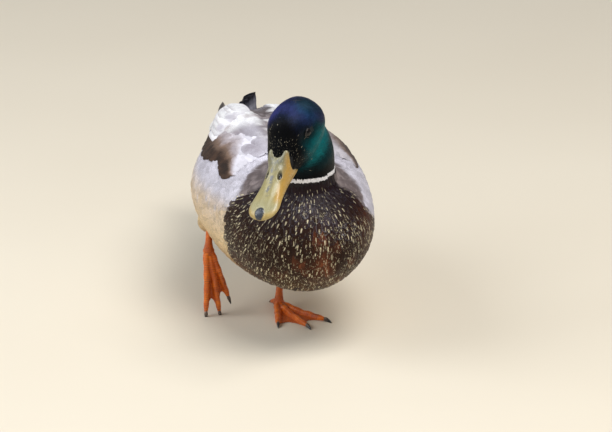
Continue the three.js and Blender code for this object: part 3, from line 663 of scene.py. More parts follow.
def finish_coat(name, mat):
    c = COATS[name]
    V = np.vstack(c["V"])
    F = np.vstack(c["F"])
    me = bpy.data.meshes.new(name)
    W = ((V + SHIFT) * MM).astype(np.float32)
    me.vertices.add(len(W))
    me.vertices.foreach_set("co", W.ravel())
    me.loops.add(F.size)
    me.loops.foreach_set("vertex_index", F.ravel().astype(np.int32))
    me.polygons.add(len(F))
    me.polygons.foreach_set("loop_start", (np.arange(len(F)) * 4).astype(np.int32))
    me.update(calc_edges=True)
    me.validate()
    me.shade_smooth()
    ring = np.concatenate(c["RING"])
    rl = np.concatenate(c["RL"])
    E = np.empty(len(me.edges) * 2, np.int32)
    me.edges.foreach_get("vertices", E)
    E = E.reshape(-1, 2)
    ra, rb, rr = ring[E[:, 0]], ring[E[:, 1]], rl[E[:, 0]]
    d = np.abs(ra - rb)
    sharp = (ra >= 0) & (rb >= 0) & ((d == 1) | (d == rr - 1))
    at = me.attributes.new("sharp_edge", "BOOLEAN", "EDGE") if "sharp_edge" not in me.attributes else me.attributes["sharp_edge"]
    at.data.foreach_set("value", sharp)
    for key, kind in (("FL", "fl"), ("FX", "fx"), ("SZ", "sz")):
        a = me.attributes.new(kind, "FLOAT_VECTOR", "POINT")
        a.data.foreach_set("vector", np.vstack(c[key]).astype(np.float32).ravel())
    for key, kind in (("COL", "col"), ("TIP", "tip")):
        a = me.attributes.new(kind, "FLOAT_COLOR", "POINT")
        q = np.vstack(c[key])
        a.data.foreach_set("color", np.column_stack([q, np.ones(len(q))]).astype(np.float32).ravel())
    fl = np.vstack(c["FL"])
    uu, vv = unwrap(np.vstack(c["ROOT"]))
    uv = np.column_stack([uu + 0.0015 * fl[:, 0], vv + 0.0015 * (2 * fl[:, 1] - 1)])
    layer = me.uv_layers.new(name="OFBake")
    layer.data.foreach_set("uv", uv[F.ravel()].astype(np.float32).ravel())
    me.materials.append(mat)
    ob = bpy.data.objects.new(name, me)
    bpy.context.scene.collection.objects.link(ob)
    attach(ob, "root")
    print("coat", name, "faces", len(F), "tris", 2 * len(F), flush=True)
    return ob


# ---------------------------------------------------------------- materials
def new_mat(name):
    m = bpy.data.materials.new(name)
    m.use_nodes = True
    t = m.node_tree
    t.nodes.clear()
    out = t.nodes.new("ShaderNodeOutputMaterial")
    b = t.nodes.new("ShaderNodeBsdfPrincipled")
    t.links.new(b.outputs[0], out.inputs[0])

    def put(sock, v):
        if isinstance(v, bpy.types.NodeSocket):
            t.links.new(v, sock)
        elif v is not None:
            if sock.type == "RGBA" and len(v) == 3:
                v = (*v, 1.0)
            sock.default_value = v

    def N(kind, *args, **kw):
        n = t.nodes.new(kind)
        for k, v in kw.items():
            if k.startswith("in_"):
                put(n.inputs[k[3:].replace("_", " ")], v)
            else:
                setattr(n, k, v)
        for i, v in enumerate(args):
            put(n.inputs[i], v)
        return n

    def M(op, a, b_=None, c=None, clamp=False):
        n = t.nodes.new("ShaderNodeMath")
        n.operation = op
        n.use_clamp = clamp
        for i, v in enumerate((a, b_, c)):
            if v is not None:
                put(n.inputs[i], v)
        return n.outputs[0]

    def mixc(f, a, c, mode="MIX"):
        n = t.nodes.new("ShaderNodeMix")
        n.data_type = "RGBA"
        n.blend_type = mode
        put(n.inputs[0], f)
        put(n.inputs[6], a)
        put(n.inputs[7], c)
        return n.outputs[2]

    def attr(n, vec=True):
        a = t.nodes.new("ShaderNodeAttribute")
        a.attribute_name = n
        return a

    def sep(v):
        n = t.nodes.new("ShaderNodeSeparateXYZ")
        put(n.inputs[0], v)
        return n.outputs

    def step(x, a, c):
        n = t.nodes.new("ShaderNodeMapRange")
        n.interpolation_type = "SMOOTHSTEP"
        put(n.inputs[0], x)
        n.inputs[1].default_value, n.inputs[2].default_value = a, c
        n.inputs[3].default_value, n.inputs[4].default_value = 0, 1
        return n.outputs[0]

    def noise(scale, detail=2.0, rough=0.5, vec=None, dist=0.0):
        n = t.nodes.new("ShaderNodeTexNoise")
        n.inputs["Scale"].default_value = scale
        n.inputs["Detail"].default_value = detail
        n.inputs["Roughness"].default_value = rough
        n.inputs["Distortion"].default_value = dist
        put(n.inputs["Vector"], vec if vec is not None else pos)
        return n.outputs["Fac"]

    def bump(h, strength, dist, normal=None):
        n = t.nodes.new("ShaderNodeBump")
        n.inputs["Strength"].default_value = strength
        n.inputs["Distance"].default_value = dist
        put(n.inputs["Height"], h)
        if normal is not None:
            put(n.inputs["Normal"], normal)
        return n.outputs[0]

    pos = t.nodes.new("ShaderNodeTexCoord").outputs["Object"]
    return dict(mat=m, b=b, put=put, N=N, M=M, mixc=mixc, attr=attr, sep=sep, step=step, noise=noise, bump=bump, pos=pos)


def feather_material(name, rough=0.55, metal=0.0, spec=0.4, sheen=0.0, sheen_rough=0.4, barb=0.8, barb_dark=0.22,
                     dash=(0.66, 0.6, 0.44), wave=(0.2, 0.18, 0.17), bump=0.5, shaft=None, coat=0.0, sheen_tint=(1, 1, 1), mott=0.22, speck=0.0):
    k = new_mat(name)
    M, mixc, step = k["M"], k["mixc"], k["step"]
    fu, fv, rnd = k["sep"](k["attr"]("fl").outputs["Vector"])[:3]
    L, W, _ = k["sep"](k["attr"]("sz").outputs["Vector"])[:3]
    dashv, fringe, wav = k["sep"](k["attr"]("fx").outputs["Vector"])[:3]
    col = k["attr"]("col").outputs["Color"]
    tip = k["attr"]("tip").outputs["Color"]
    s = M("MULTIPLY", fv, L)
    au = M("ABSOLUTE", fu)
    w = M("MULTIPLY", M("MULTIPLY", au, W), 0.5)
    # tone of one feather against the next, and cloudy variation
    tone = M("MULTIPLY_ADD", rnd, 0.3, 0.85)
    n1 = k["noise"](260.0, 3.0)
    tone = M("MULTIPLY", tone, M("MULTIPLY_ADD", n1, mott * 2, 1 - mott))
    c = mixc(1.0, col, k["N"]("ShaderNodeCombineXYZ", tone, tone, tone).outputs[0], "MULTIPLY")
    # fine waving cross lines
    n2 = k["noise"](700.0, 2.0)
    ph = M("ADD", M("MULTIPLY", M("ADD", s, M("MULTIPLY", M("POWER", au, 2.0), M("MULTIPLY", W, 0.22))), 6.2832 / 1.7), M("MULTIPLY", M("SUBTRACT", n2, 0.5), 9.0))
    wv = step(M("SINE", ph), 0.1, 0.75)
    if not speck:
        c = mixc(M("MULTIPLY", wv, wav), c, wave)
    # lighter or darker edge
    edge = M("MAXIMUM", step(au, 0.62, 0.95), step(fv, 0.84, 0.97))
    n3 = k["noise"](900.0, 2.0)
    edge = M("MULTIPLY", edge, M("MULTIPLY_ADD", n3, 0.8, 0.6, clamp=True))
    c = mixc(M("MULTIPLY", edge, fringe), c, tip)
    # a pale streak along the shaft near the tip
    jit = M("MULTIPLY_ADD", rnd, 0.5, -0.25)
    du = M("ABSOLUTE", M("SUBTRACT", fu, jit))
    n4 = k["noise"](1100.0, 2.0)
    r2 = M("FRACT", M("MULTIPLY", rnd, 7.31))
    r3 = M("FRACT", M("MULTIPLY", rnd, 17.93))
    lo = M("MULTIPLY_ADD", r2, 0.26, 0.46)
    st = M("MULTIPLY", step(M("DIVIDE", du, M("MULTIPLY_ADD", r3, 1.0, 0.45)), 0.27, 0.10), M("MULTIPLY", step(M("SUBTRACT", fv, lo), 0.0, 0.1), step(fv, 1.0, 0.9)))
    st = M("MULTIPLY", st, step(M("ADD", n4, M("MULTIPLY", M("SUBTRACT", rnd, 0.5), 0.3)), 0.34, 0.52))
    c = mixc(M("MULTIPLY", st, dashv, clamp=True), c, dash)
    if speck:  # short pale and rufous ticks scattered between the streaks
        m5 = k["N"]("ShaderNodeMapping")
        k["put"](m5.inputs["Vector"], k["pos"])
        m5.inputs["Scale"].default_value = (1.0, 1.0, 0.42)
        n5 = k["noise"](980.0, 3.0, 0.65, m5.outputs[0])
        n6 = k["noise"](160.0, 2.0, 0.5)
        tick = M("MULTIPLY", step(M("ADD", n5, M("MULTIPLY", M("SUBTRACT", n6, 0.5), 0.25)), 0.60, 0.68), M("MULTIPLY", wav, speck), clamp=True)
        c = mixc(tick, c, dash)
        c = mixc(M("MULTIPLY", step(n5, 0.42, 0.34), M("MULTIPLY", wav, 0.5)), c, tuple(rgb(96, 58, 36)))
    # barbs
    bp = M("MULTIPLY", M("SUBTRACT", s, M("MULTIPLY", w, 0.9)), 6.2832 / barb)
    bp = M("ADD", bp, M("MULTIPLY", n2, 3.0))
    bl = M("MULTIPLY_ADD", M("SINE", bp), 0.5, 0.5)
    dark = M("SUBTRACT", 1.0, M("MULTIPLY", M("SUBTRACT", 1.0, bl), barb_dark))
    c = mixc(1.0, c, k["N"]("ShaderNodeCombineXYZ", dark, dark, dark).outputs[0], "MULTIPLY")
    if shaft is not None:
        sh = step(w, 0.42, 0.22)
        c = mixc(M("MULTIPLY", sh, 0.75), c, shaft)
    k["put"](k["b"].inputs["Base Color"], c)
    k["b"].inputs["Roughness"].default_value = rough
    k["b"].inputs["Metallic"].default_value = metal
    k["b"].inputs["Specular IOR Level"].default_value = spec
    if sheen:
        k["b"].inputs["Sheen Weight"].default_value = sheen
        k["b"].inputs["Sheen Roughness"].default_value = sheen_rough
        k["b"].inputs["Sheen Tint"].default_value = (*sheen_tint, 1)
    if coat:
        k["b"].inputs["Coat Weight"].default_value = coat
        k["b"].inputs["Coat Roughness"].default_value = 0.35
    rib = M("MAXIMUM", step(w, 0.5, 0.15), 0.0)
    h = M("ADD", M("MULTIPLY", bl, 0.5), M("MULTIPLY", rib, 0.8))
    k["put"](k["b"].inputs["Normal"], k["bump"](h, bump, 0.00018))
    return k["mat"]


MAT = {}
MAT["head"] = feather_material("head_gloss", rough=0.42, metal=0.35, spec=0.1, barb=0.5, barb_dark=0.3, bump=0.35, mott=0.42, dash=(0.5, 0.45, 0.33))
MAT["breast"] = feather_material("breast_feather", rough=0.4, metal=0.0, spec=0.12, barb=0.7, barb_dark=0.28, bump=0.4, speck=0.9, dash=tuple(C["dash"]), mott=0.4)
MAT["body"] = feather_material("body_feather", rough=0.62, spec=0.3, barb=0.9, barb_dark=0.16, bump=0.45, wave=tuple(rgb(112, 104, 108)), mott=0.12)
MAT["rump"] = feather_material("rump_feather", rough=0.4, metal=0.15, spec=0.2, barb=0.8, barb_dark=0.3, bump=0.4)
MAT["wing"] = feather_material("wing_feather", rough=0.5, spec=0.4, barb=1.0, barb_dark=0.22, bump=0.5, shaft=tuple(rgb(70, 58, 50)), mott=0.2)
MAT["spec"] = feather_material("speculum_feather", rough=0.34, metal=0.45, spec=0.5, barb=0.9, barb_dark=0.25, bump=0.4, shaft=tuple(rgb(16, 16, 22)))
MAT["curl"] = feather_material("curl_feather", rough=0.38, metal=0.15, spec=0.35, barb=0.9, barb_dark=0.35, bump=0.6, shaft=tuple(rgb(24, 24, 28)))

# under-feather skin: downy and dark or pale with the same markings
k = new_mat("skin_down")
n1 = k["noise"](420.0, 4.0, 0.6)
tone = k["M"]("MULTIPLY_ADD", n1, 0.7, 0.42)
c = k["mixc"](1.0, k["attr"]("col").outputs["Color"], k["N"]("ShaderNodeCombineXYZ", tone, tone, tone).outputs[0], "MULTIPLY")
k["put"](k["b"].inputs["Base Color"], c)
k["b"].inputs["Roughness"].default_value = 0.85
k["put"](k["b"].inputs["Normal"], k["bump"](n1, 0.6, 0.0006))
MAT["skin"] = k["mat"]

# scaly orange skin of the legs, toes and webs: sc = (mm along the toe, 0 on a toe to 1 on a web, across)
k = new_mat("leg_scutes")
M, mixc, step = k["M"], k["mixc"], k["step"]
sa, web, ac = k["sep"](k["attr"]("sc").outputs["Vector"])[:3]
n1, n2 = k["noise"](160.0, 4.0, 0.6), k["noise"](900.0, 3.0, 0.6)
vor = k["N"]("ShaderNodeTexVoronoi", feature="DISTANCE_TO_EDGE")
k["put"](vor.inputs["Vector"], k["pos"])
vor.inputs["Scale"].default_value = 620.0
cell = step(vor.outputs["Distance"], 0.0, 0.16)
saw = M("FRACT", M("MULTIPLY", sa, 1 / 1.9))
plate = M("MULTIPLY", step(saw, 0.0, 0.16), step(saw, 1.0, 0.8))
hgt = mixc(web, k["N"]("ShaderNodeCombineXYZ", plate, plate, plate).outputs[0], k["N"]("ShaderNodeCombineXYZ", cell, cell, cell).outputs[0])
c = mixc(step(n1, 0.35, 0.7), tuple(rgb(196, 88, 20)), tuple(rgb(232, 122, 30)))
c = mixc(M("MULTIPLY", web, step(n1, 0.3, 0.75)), c, tuple(rgb(166, 70, 24)))
c = mixc(M("MULTIPLY", M("SUBTRACT", 1.0, hgt), 0.42), c, tuple(rgb(116, 52, 22)))
c = mixc(M("MULTIPLY", step(n2, 0.62, 0.8), 0.4), c, tuple(rgb(92, 44, 24)))
c = mixc(M("MULTIPLY", k["step"](k["noise"](90.0, 3.0), 0.62, 0.72), 0.45), c, tuple(rgb(60, 44, 36)))
k["put"](k["b"].inputs["Base Color"], c)
k["b"].inputs["Roughness"].default_value = 0.42
k["b"].inputs["Specular IOR Level"].default_value = 0.45
k["b"].inputs["Subsurface Weight"].default_value = 0.0
k["put"](k["b"].inputs["Normal"], k["bump"](n2, 0.15, 0.0002, k["bump"](hgt, 0.6, 0.0004)))
MAT["leg"] = k["mat"]


def horn_material(name, rough=0.32, coat=0.25, fine=0.25, speck=0.5, grain=(1400.0, 0.25)):
    """Horn: colour per point, with fine mottling, worn scratches and pits."""
    k = new_mat(name)
    M, mixc, step = k["M"], k["mixc"], k["step"]
    hp = k["attr"]("hp").outputs["Vector"]
    sc = k["N"]("ShaderNodeMapping")
    k["put"](sc.inputs["Vector"], hp)
    sc.inputs["Scale"].default_value = (0.35, 1.0, 1.0)
    n1 = k["noise"](0.55, 4.0, 0.6, sc.outputs[0])
    n2 = k["noise"](2.6, 3.0, 0.65, hp)
    n3 = k["noise"](1.3, 2.0, 0.5, sc.outputs[0], 0.6)
    c = k["attr"]("col").outputs["Color"]
    tone = M("MULTIPLY_ADD", n1, fine, 1 - fine / 2)
    tone = M("MULTIPLY", tone, M("MULTIPLY_ADD", n2, 0.16, 0.92))
    c = mixc(1.0, c, k["N"]("ShaderNodeCombineXYZ", tone, tone, tone).outputs[0], "MULTIPLY")
    c = mixc(M("MULTIPLY", step(n2, 0.66, 0.76), 0.35 * speck), c, tuple(rgb(96, 88, 64)))
    c = mixc(M("MULTIPLY", step(n3, 0.63, 0.7), 0.3 * speck), c, tuple(rgb(226, 222, 190)))
    k["put"](k["b"].inputs["Base Color"], c)
    k["b"].inputs["Roughness"].default_value = rough
    k["b"].inputs["Specular IOR Level"].default_value = 0.5
    k["b"].inputs["Coat Weight"].default_value = coat
    k["b"].inputs["Coat Roughness"].default_value = 0.2
    k["put"](k["b"].inputs["Normal"], k["bump"](n2, 0.25, 0.00015, k["bump"](n1, 0.25, 0.0005)))
    return k["mat"]


MAT["bill"] = horn_material("bill_horn", rough=0.38, fine=0.42, speck=1.0)
MAT["claw"] = horn_material("claw_horn", rough=0.3, coat=0.3, fine=0.5)

k = new_mat("eye_wet")
n1 = k["noise"](1500.0, 3.0)
c = k["mixc"](1.0, k["attr"]("col").outputs["Color"], (0.36, 0.32, 0.32), "MULTIPLY")
c = k["mixc"](k["M"]("MULTIPLY", n1, 0.5), c, k["mixc"](1.0, c, (0.35, 0.3, 0.3), "MULTIPLY"))
k["put"](k["b"].inputs["Base Color"], c)
k["b"].inputs["Roughness"].default_value = 0.2
k["b"].inputs["Specular IOR Level"].default_value = 0.2
k["b"].inputs["Coat Weight"].default_value = 0.35
k["b"].inputs["Coat Roughness"].default_value = 0.03
MAT["eye"] = k["mat"]

k = new_mat("eyelid_skin")
n1 = k["noise"](1800.0, 3.0)
k["put"](k["b"].inputs["Base Color"], k["mixc"](n1, tuple(rgb(10, 10, 12)), tuple(rgb(30, 25, 22))))
k["b"].inputs["Roughness"].default_value = 0.45
k["put"](k["b"].inputs["Normal"], k["bump"](n1, 0.4, 0.0002))
MAT["lid"] = k["mat"]

k = new_mat("studio_floor")
n1 = k["noise"](3.0, 2.0)
k["put"](k["b"].inputs["Base Color"], k["mixc"](n1, tuple(rgb(212, 202, 184)), tuple(rgb(219, 210, 193))))
k["b"].inputs["Roughness"].default_value = 0.8
MAT["floor"] = k["mat"]


def point_attrs(ob, **kw):
    for name, val in kw.items():
        val = np.asarray(val, np.float32)
        if name in ("col",):
            a = ob.data.attributes.new(name, "FLOAT_COLOR", "POINT")
            a.data.foreach_set("color", np.column_stack([val, np.ones(len(val))]).astype(np.float32).ravel())
        else:
            a = ob.data.attributes.new(name, "FLOAT_VECTOR", "POINT")
            a.data.foreach_set("vector", val.ravel())


def place(ob, nodes=()):
    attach(ob, "root")
    if nodes:
        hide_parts(*nodes)
    return ob


# ---------------------------------------------------------------- bill
def bill_top(s, x, z, th):
    # shoulders: the horn runs back in a point on each side of the forehead feathers
    w = np.exp(-(((s - 23.2) / 4.6) ** 2)) * (s > 16)
    e = 2.2 + 5.0 * w
    up = np.sin(th) > 0
    hw = np.abs(x).max(1, keepdims=True)
    xs = hw * np.sign(np.cos(th)) * np.abs(np.cos(th)) ** (2 / e) * (1 - 0.12 * w)
    mid = z[:, :1] * 0 + np.interp(s[:, :1], BILL_UPPER[:, 0], BILL_UPPER[:, 1])
    hu_ = z.max(1, keepdims=True) - mid
    zs = mid + hu_ * np.abs(np.sin(th)) ** (2 / e)
    x2 = np.where(up, xs, x)
    z2 = np.where(up, zs, z)
    z2 = z2 + np.where(up, 2.0 * w * sm(2, 7, np.abs(x2)) - 1.6 * w * sm(5, 0, np.abs(x2)), 0)
    # a low ridge along each side of the culmen, a shallow dish towards the spoon
    dish = sm(44, 60, s) * sm(80, 68, s)
    z2 = z2 - np.where(up, 0.7 * dish * np.exp(-((np.abs(x2) - 6.5) / 2.6) ** 2), 0)
    # nostrils
    for sg in (-1, 1):
        d = ((s - 41.5) / 3.3) ** 2 + ((x2 - sg * (5.7)) / 1.3) ** 2
        z2 = z2 - np.where(up, 2.4 * np.exp(-d * d), 0)
        z2 = z2 + np.where(up, 0.22 * np.exp(-((np.sqrt(d) - 1.55) / 0.35) ** 2), 0)
    # nail
    d = np.sqrt(((s - 77.8) / 4.9) ** 2 + ((x2 + 0.6) / 4.3) ** 2)
    z2 = z2 + np.where(up, 0.55 * sm(1.0, 0.8, d) + 0.3 * sm(1.0, 0.0, d), 0)
    z2 = z2 - np.where(up, 0.25 * np.exp(-((d - 1.08) / 0.08) ** 2), 0)
    # rolled edge of the spoon
    z2 = z2 + 0.35 * np.exp(-((np.abs(np.sin(th)) - 0.12) / 0.12) ** 2) * sm(50, 64, s) * np.where(up, 1, 0)
    return s, x2, z2


ends = np.array([r for r in range(len(BILL_UPPER))])
us = np.concatenate([np.linspace(0, 11, 221)[1:-1]])
bv, bf = outward(*loft(BILL_UPPER, *HEAD_AXES, 0, 128, shape=bill_top, us=us))
f_, l_, u_ = head_coords(bv)
yel, olive = rgb(146, 136, 90), rgb(98, 98, 80)
col = mix(const(yel, bv), const(olive, bv), sm(52, 26, f_) * 0.7)
col = mix(col, const(rgb(182, 138, 52), bv), 0.8 * sm(5.2, 9.5, l_) * sm(20, 30, f_) * sm(72, 60, f_))
col = mix(col, const(rgb(146, 142, 110), bv), 0.6 * sm(60, 72, f_))
edge = sm(-8.6, -10.2, u_) * sm(18, 24, f_)
col = mix(col, const(rgb(176, 144, 70), bv), 0.6 * edge)
bn = fbm(np.stack([f_ / 3.2, l_ / 1.9, u_ / 3], -1), 4)
bn2 = fbm(np.stack([f_ / 1.7, l_ / 1.2, u_ / 2], -1), 14)
smudge = sm(0.50, 0.62, bn) * np.exp(-((l_ + 0.6 - 0.02 * (f_ - 40)) / 2.2) ** 2) * sm(31, 36, f_) * sm(66, 58, f_) * (u_ > -9)
col = mix(col, const(rgb(72, 80, 98), bv), 0.8 * np.clip(smudge, 0, 1))
smudge = sm(0.5, 0.66, bn2) * np.exp(-((f_ - 30) / 3.4) ** 2) * sm(9, 4, np.abs(l_)) * (u_ > 2)
col = mix(col, const(rgb(76, 84, 100), bv), 0.75 * np.clip(smudge, 0, 1))
smudge = sm(0.55, 0.7, bn2) * sm(20, 26, f_) * sm(40, 32, f_)
col = mix(col, const(rgb(120, 116, 92), bv), 0.4 * np.clip(smudge, 0, 1))
# painted shade: the shallow nostril pits are coloured near black for the shade inside the open nostrils
for sg in (-1, 1):
    d = ((f_ - 41.5) / 3.2) ** 2 + ((l_ - sg * 5.7) / 1.45) ** 2
    col = mix(col, const(rgb(14, 15, 18), bv), np.clip(1.25 * np.exp(-d * d * 0.8), 0, 1) * (u_ > -8))
d = np.sqrt(((f_ - 77.8) / 4.8) ** 2 + ((l_ + 0.6) / 4.2) ** 2)
col = mix(col, const(rgb(40, 46, 58), bv), sm(1.06, 0.92, d) * (u_ > -13.6))
groove = np.abs(np.sin(f_ * 2 * np.pi / 1.15)) * sm(-10.9, -11.6, u_ + 0.035 * (f_ - 40)) * sm(30, 36, f_) * sm(78, 72, f_)
col = col * (1 - 0.25 * groove)[:, None]
bill = make_object("upper_bill", bv, bf, [MAT["bill"]])
point_attrs(bill, col=col, hp=np.stack([f_, l_, u_], -1))
place(bill, ["bill_upper"])

lv, lf = outward(*loft(BILL_LOWER, *HEAD_AXES, 0, 96, us=np.linspace(0, 8, 161)[1:-1]))
f_, l_, u_ = head_coords(lv)
col = mix(const(rgb(176, 142, 70), lv), const(rgb(146, 122, 74), lv), sm(-14, -17, u_))
col = mix(col, const(rgb(60, 58, 58), lv), sm(73, 77, f_) * sm(4, 2.5, np.abs(l_)))
groove = np.abs(np.sin(f_ * 2 * np.pi / 1.1)) * sm(6.5, 8, np.abs(l_)) * sm(26, 32, f_)
col = col * (1 - 0.2 * groove)[:, None]
lower = make_object("lower_bill", lv, lf, [MAT["bill"]])
point_attrs(lower, col=col, hp=np.stack([f_, l_, u_], -1))
place(lower, ["bill_lower"])


# ---------------------------------------------------------------- eyes
def ball(r, rows=48, cols=64):
    th = np.linspace(0, np.pi, rows)[1:-1]
    ph = np.linspace(0, 2 * np.pi, cols, endpoint=False)
    P = np.stack([np.outer(np.sin(th), np.cos(ph)), np.outer(np.sin(th), np.sin(ph)), np.outer(np.cos(th), np.ones_like(ph))], -1) * r
    return ring_mesh(np.array([0, 0, r]), P, np.array([0, 0, -r]))


for name, sg in (("L", 1), ("R", -1)):
    c0 = in_head(EYE_AT[0], sg * EYE_AT[1], EYE_AT[2])
    gaze = unit(sg * HL + 0.34 * HF + 0.06 * HU)
    a = unit(np.cross(gaze, HU))
    b = unit(np.cross(gaze, a))
    v, f = ball(1.0)
    v = v * EYE_R
    cz = v[:, 2] / EYE_R
    bulge = 0.35 * sm(0.80, 0.96, cz)  # the cornea stands a little proud
    P = c0 + (v[:, :1] * a + v[:, 1:2] * b + (v[:, 2:] + bulge[:, None]) * gaze)
    ang = np.degrees(np.arccos(np.clip(cz, -1, 1)))
    phi = np.arctan2(v[:, 1], v[:, 0])
    iris = mix(const(rgb(44, 24, 15), P), const(rgb(82, 46, 26), P), 0.5 + 0.5 * np.sin(phi * 23 + 3 * np.sin(phi * 5)))
    col = mix(const(rgb(4, 4, 5), P), iris, sm(33, 36, ang))
    col = mix(col, const(rgb(12, 9, 8), P), sm(45, 50, ang))
    P, f = outward(P, f)
    ob = make_object("eyeball_" + name, P, f, [MAT["eye"]])
    point_attrs(ob, col=col)
    place(ob, ["eye_" + name])
    # lids: an oval ring lying on the eye, thicker above
    R1, n1, n2 = 4.25, 72, 20
    t = np.linspace(0, 2 * np.pi, n1, endpoint=False)
    p = np.linspace(0, 2 * np.pi, n2, endpoint=False)
    out = unit(sg * HL)
    along = HF
    upv = unit(HU - out * np.dot(HU, out))
    ring = []
    for ti in t:
        rad = math.cos(ti) * along * R1 * 1.08 + math.sin(ti) * upv * R1 * 0.86
        dirr = unit(rad)
        hgt = math.sqrt(max(EYE_R**2 - np.dot(rad, rad) * 0.97, 0.5))
        cen = c0 + rad + out * (hgt - 0.1)
        thick = 0.55 + 0.2 * max(0, math.sin(ti)) + 0.03 * math.sin(ti * 24)
        ring.append([cen + thick * (math.cos(pi) * dirr + math.sin(pi) * unit(out + 0.3 * dirr)) for pi in p])
    ring = np.array(ring)
    vs = ring.reshape(-1, 3)
    fs = [(i * n2 + j, ((i + 1) % n1) * n2 + j, ((i + 1) % n1) * n2 + (j + 1) % n2, i * n2 + (j + 1) % n2) for i in range(n1) for j in range(n2)]
    vs, fs = outward(vs, fs)
    place(make_object("eyelids_" + name, vs, fs, [MAT["lid"]]))


# ---------------------------------------------------------------- legs, feet, claws
LEN = TOES
TARSUS_ROWS = [(-0.14, 1, 1), (-0.08, 3.4, 3.6), (0.04, 4.4, 4.6), (0.2, 3, 3.8), (0.55, 2.6, 3.4), (0.85, 3, 3.5), (1, 3.9, 3.6), (1.08, 2.6, 2.2), (1.12, 0.5, 0.5)]
TOE_R = [2.2, 3.3, 2.7, 3, 2.5, 2.8, 2.4, 2.5, 1.4]


def lerp(a, b, t):
    return np.asarray(a) + (np.asarray(b) - np.asarray(a)) * t


def toe_path(side, j):
    """Centre lines of the three front toes: points, radii and end direction."""
    jx, jy, jz = LEG[side][1]
    out = {}
    if side == "L":
        for key, deg, x0 in (("inner", -12, -2), ("middle", 15, 0), ("outer", 38, 2)):
            a = math.radians(deg)
            d = np.array([math.sin(a), -math.cos(a), 0])
            st = np.array([jx + x0, jy - 2, 4.6])
            L = LEN[key] - 4
            t = np.linspace(0, 1, len(TOE_R))
            pts = st + np.outer(t * L, d)
            pts[:, 2] = [max(r - 0.6, lerp(4.6, 1.9, min(1, 2.2 * q))) + 0.135 * math.sin(math.pi * min(1, 1.15 * q)) for r, q in zip(TOE_R, t)]
            out[key] = (pts, d)
    else:
        for key, to, x0, add in (("inner", (-42.5, 15, 2), 2, 1), ("middle", (-55, 9.5, 0), 0, 0), ("outer", (-67.5, 7.5, 0), -2, 1)):
            st = np.array([jx + x0, jy, jz - 3.0])
            d = unit(np.array(to, float) - st)
            L = LEN[key] + add
            t = np.linspace(0, 1, len(TOE_R))
            pts = st + np.outer(t * L, d)
            pts[:, 1] -= 2.2 * np.sin(np.pi * t)
            out[key] = (pts, d)
    return out


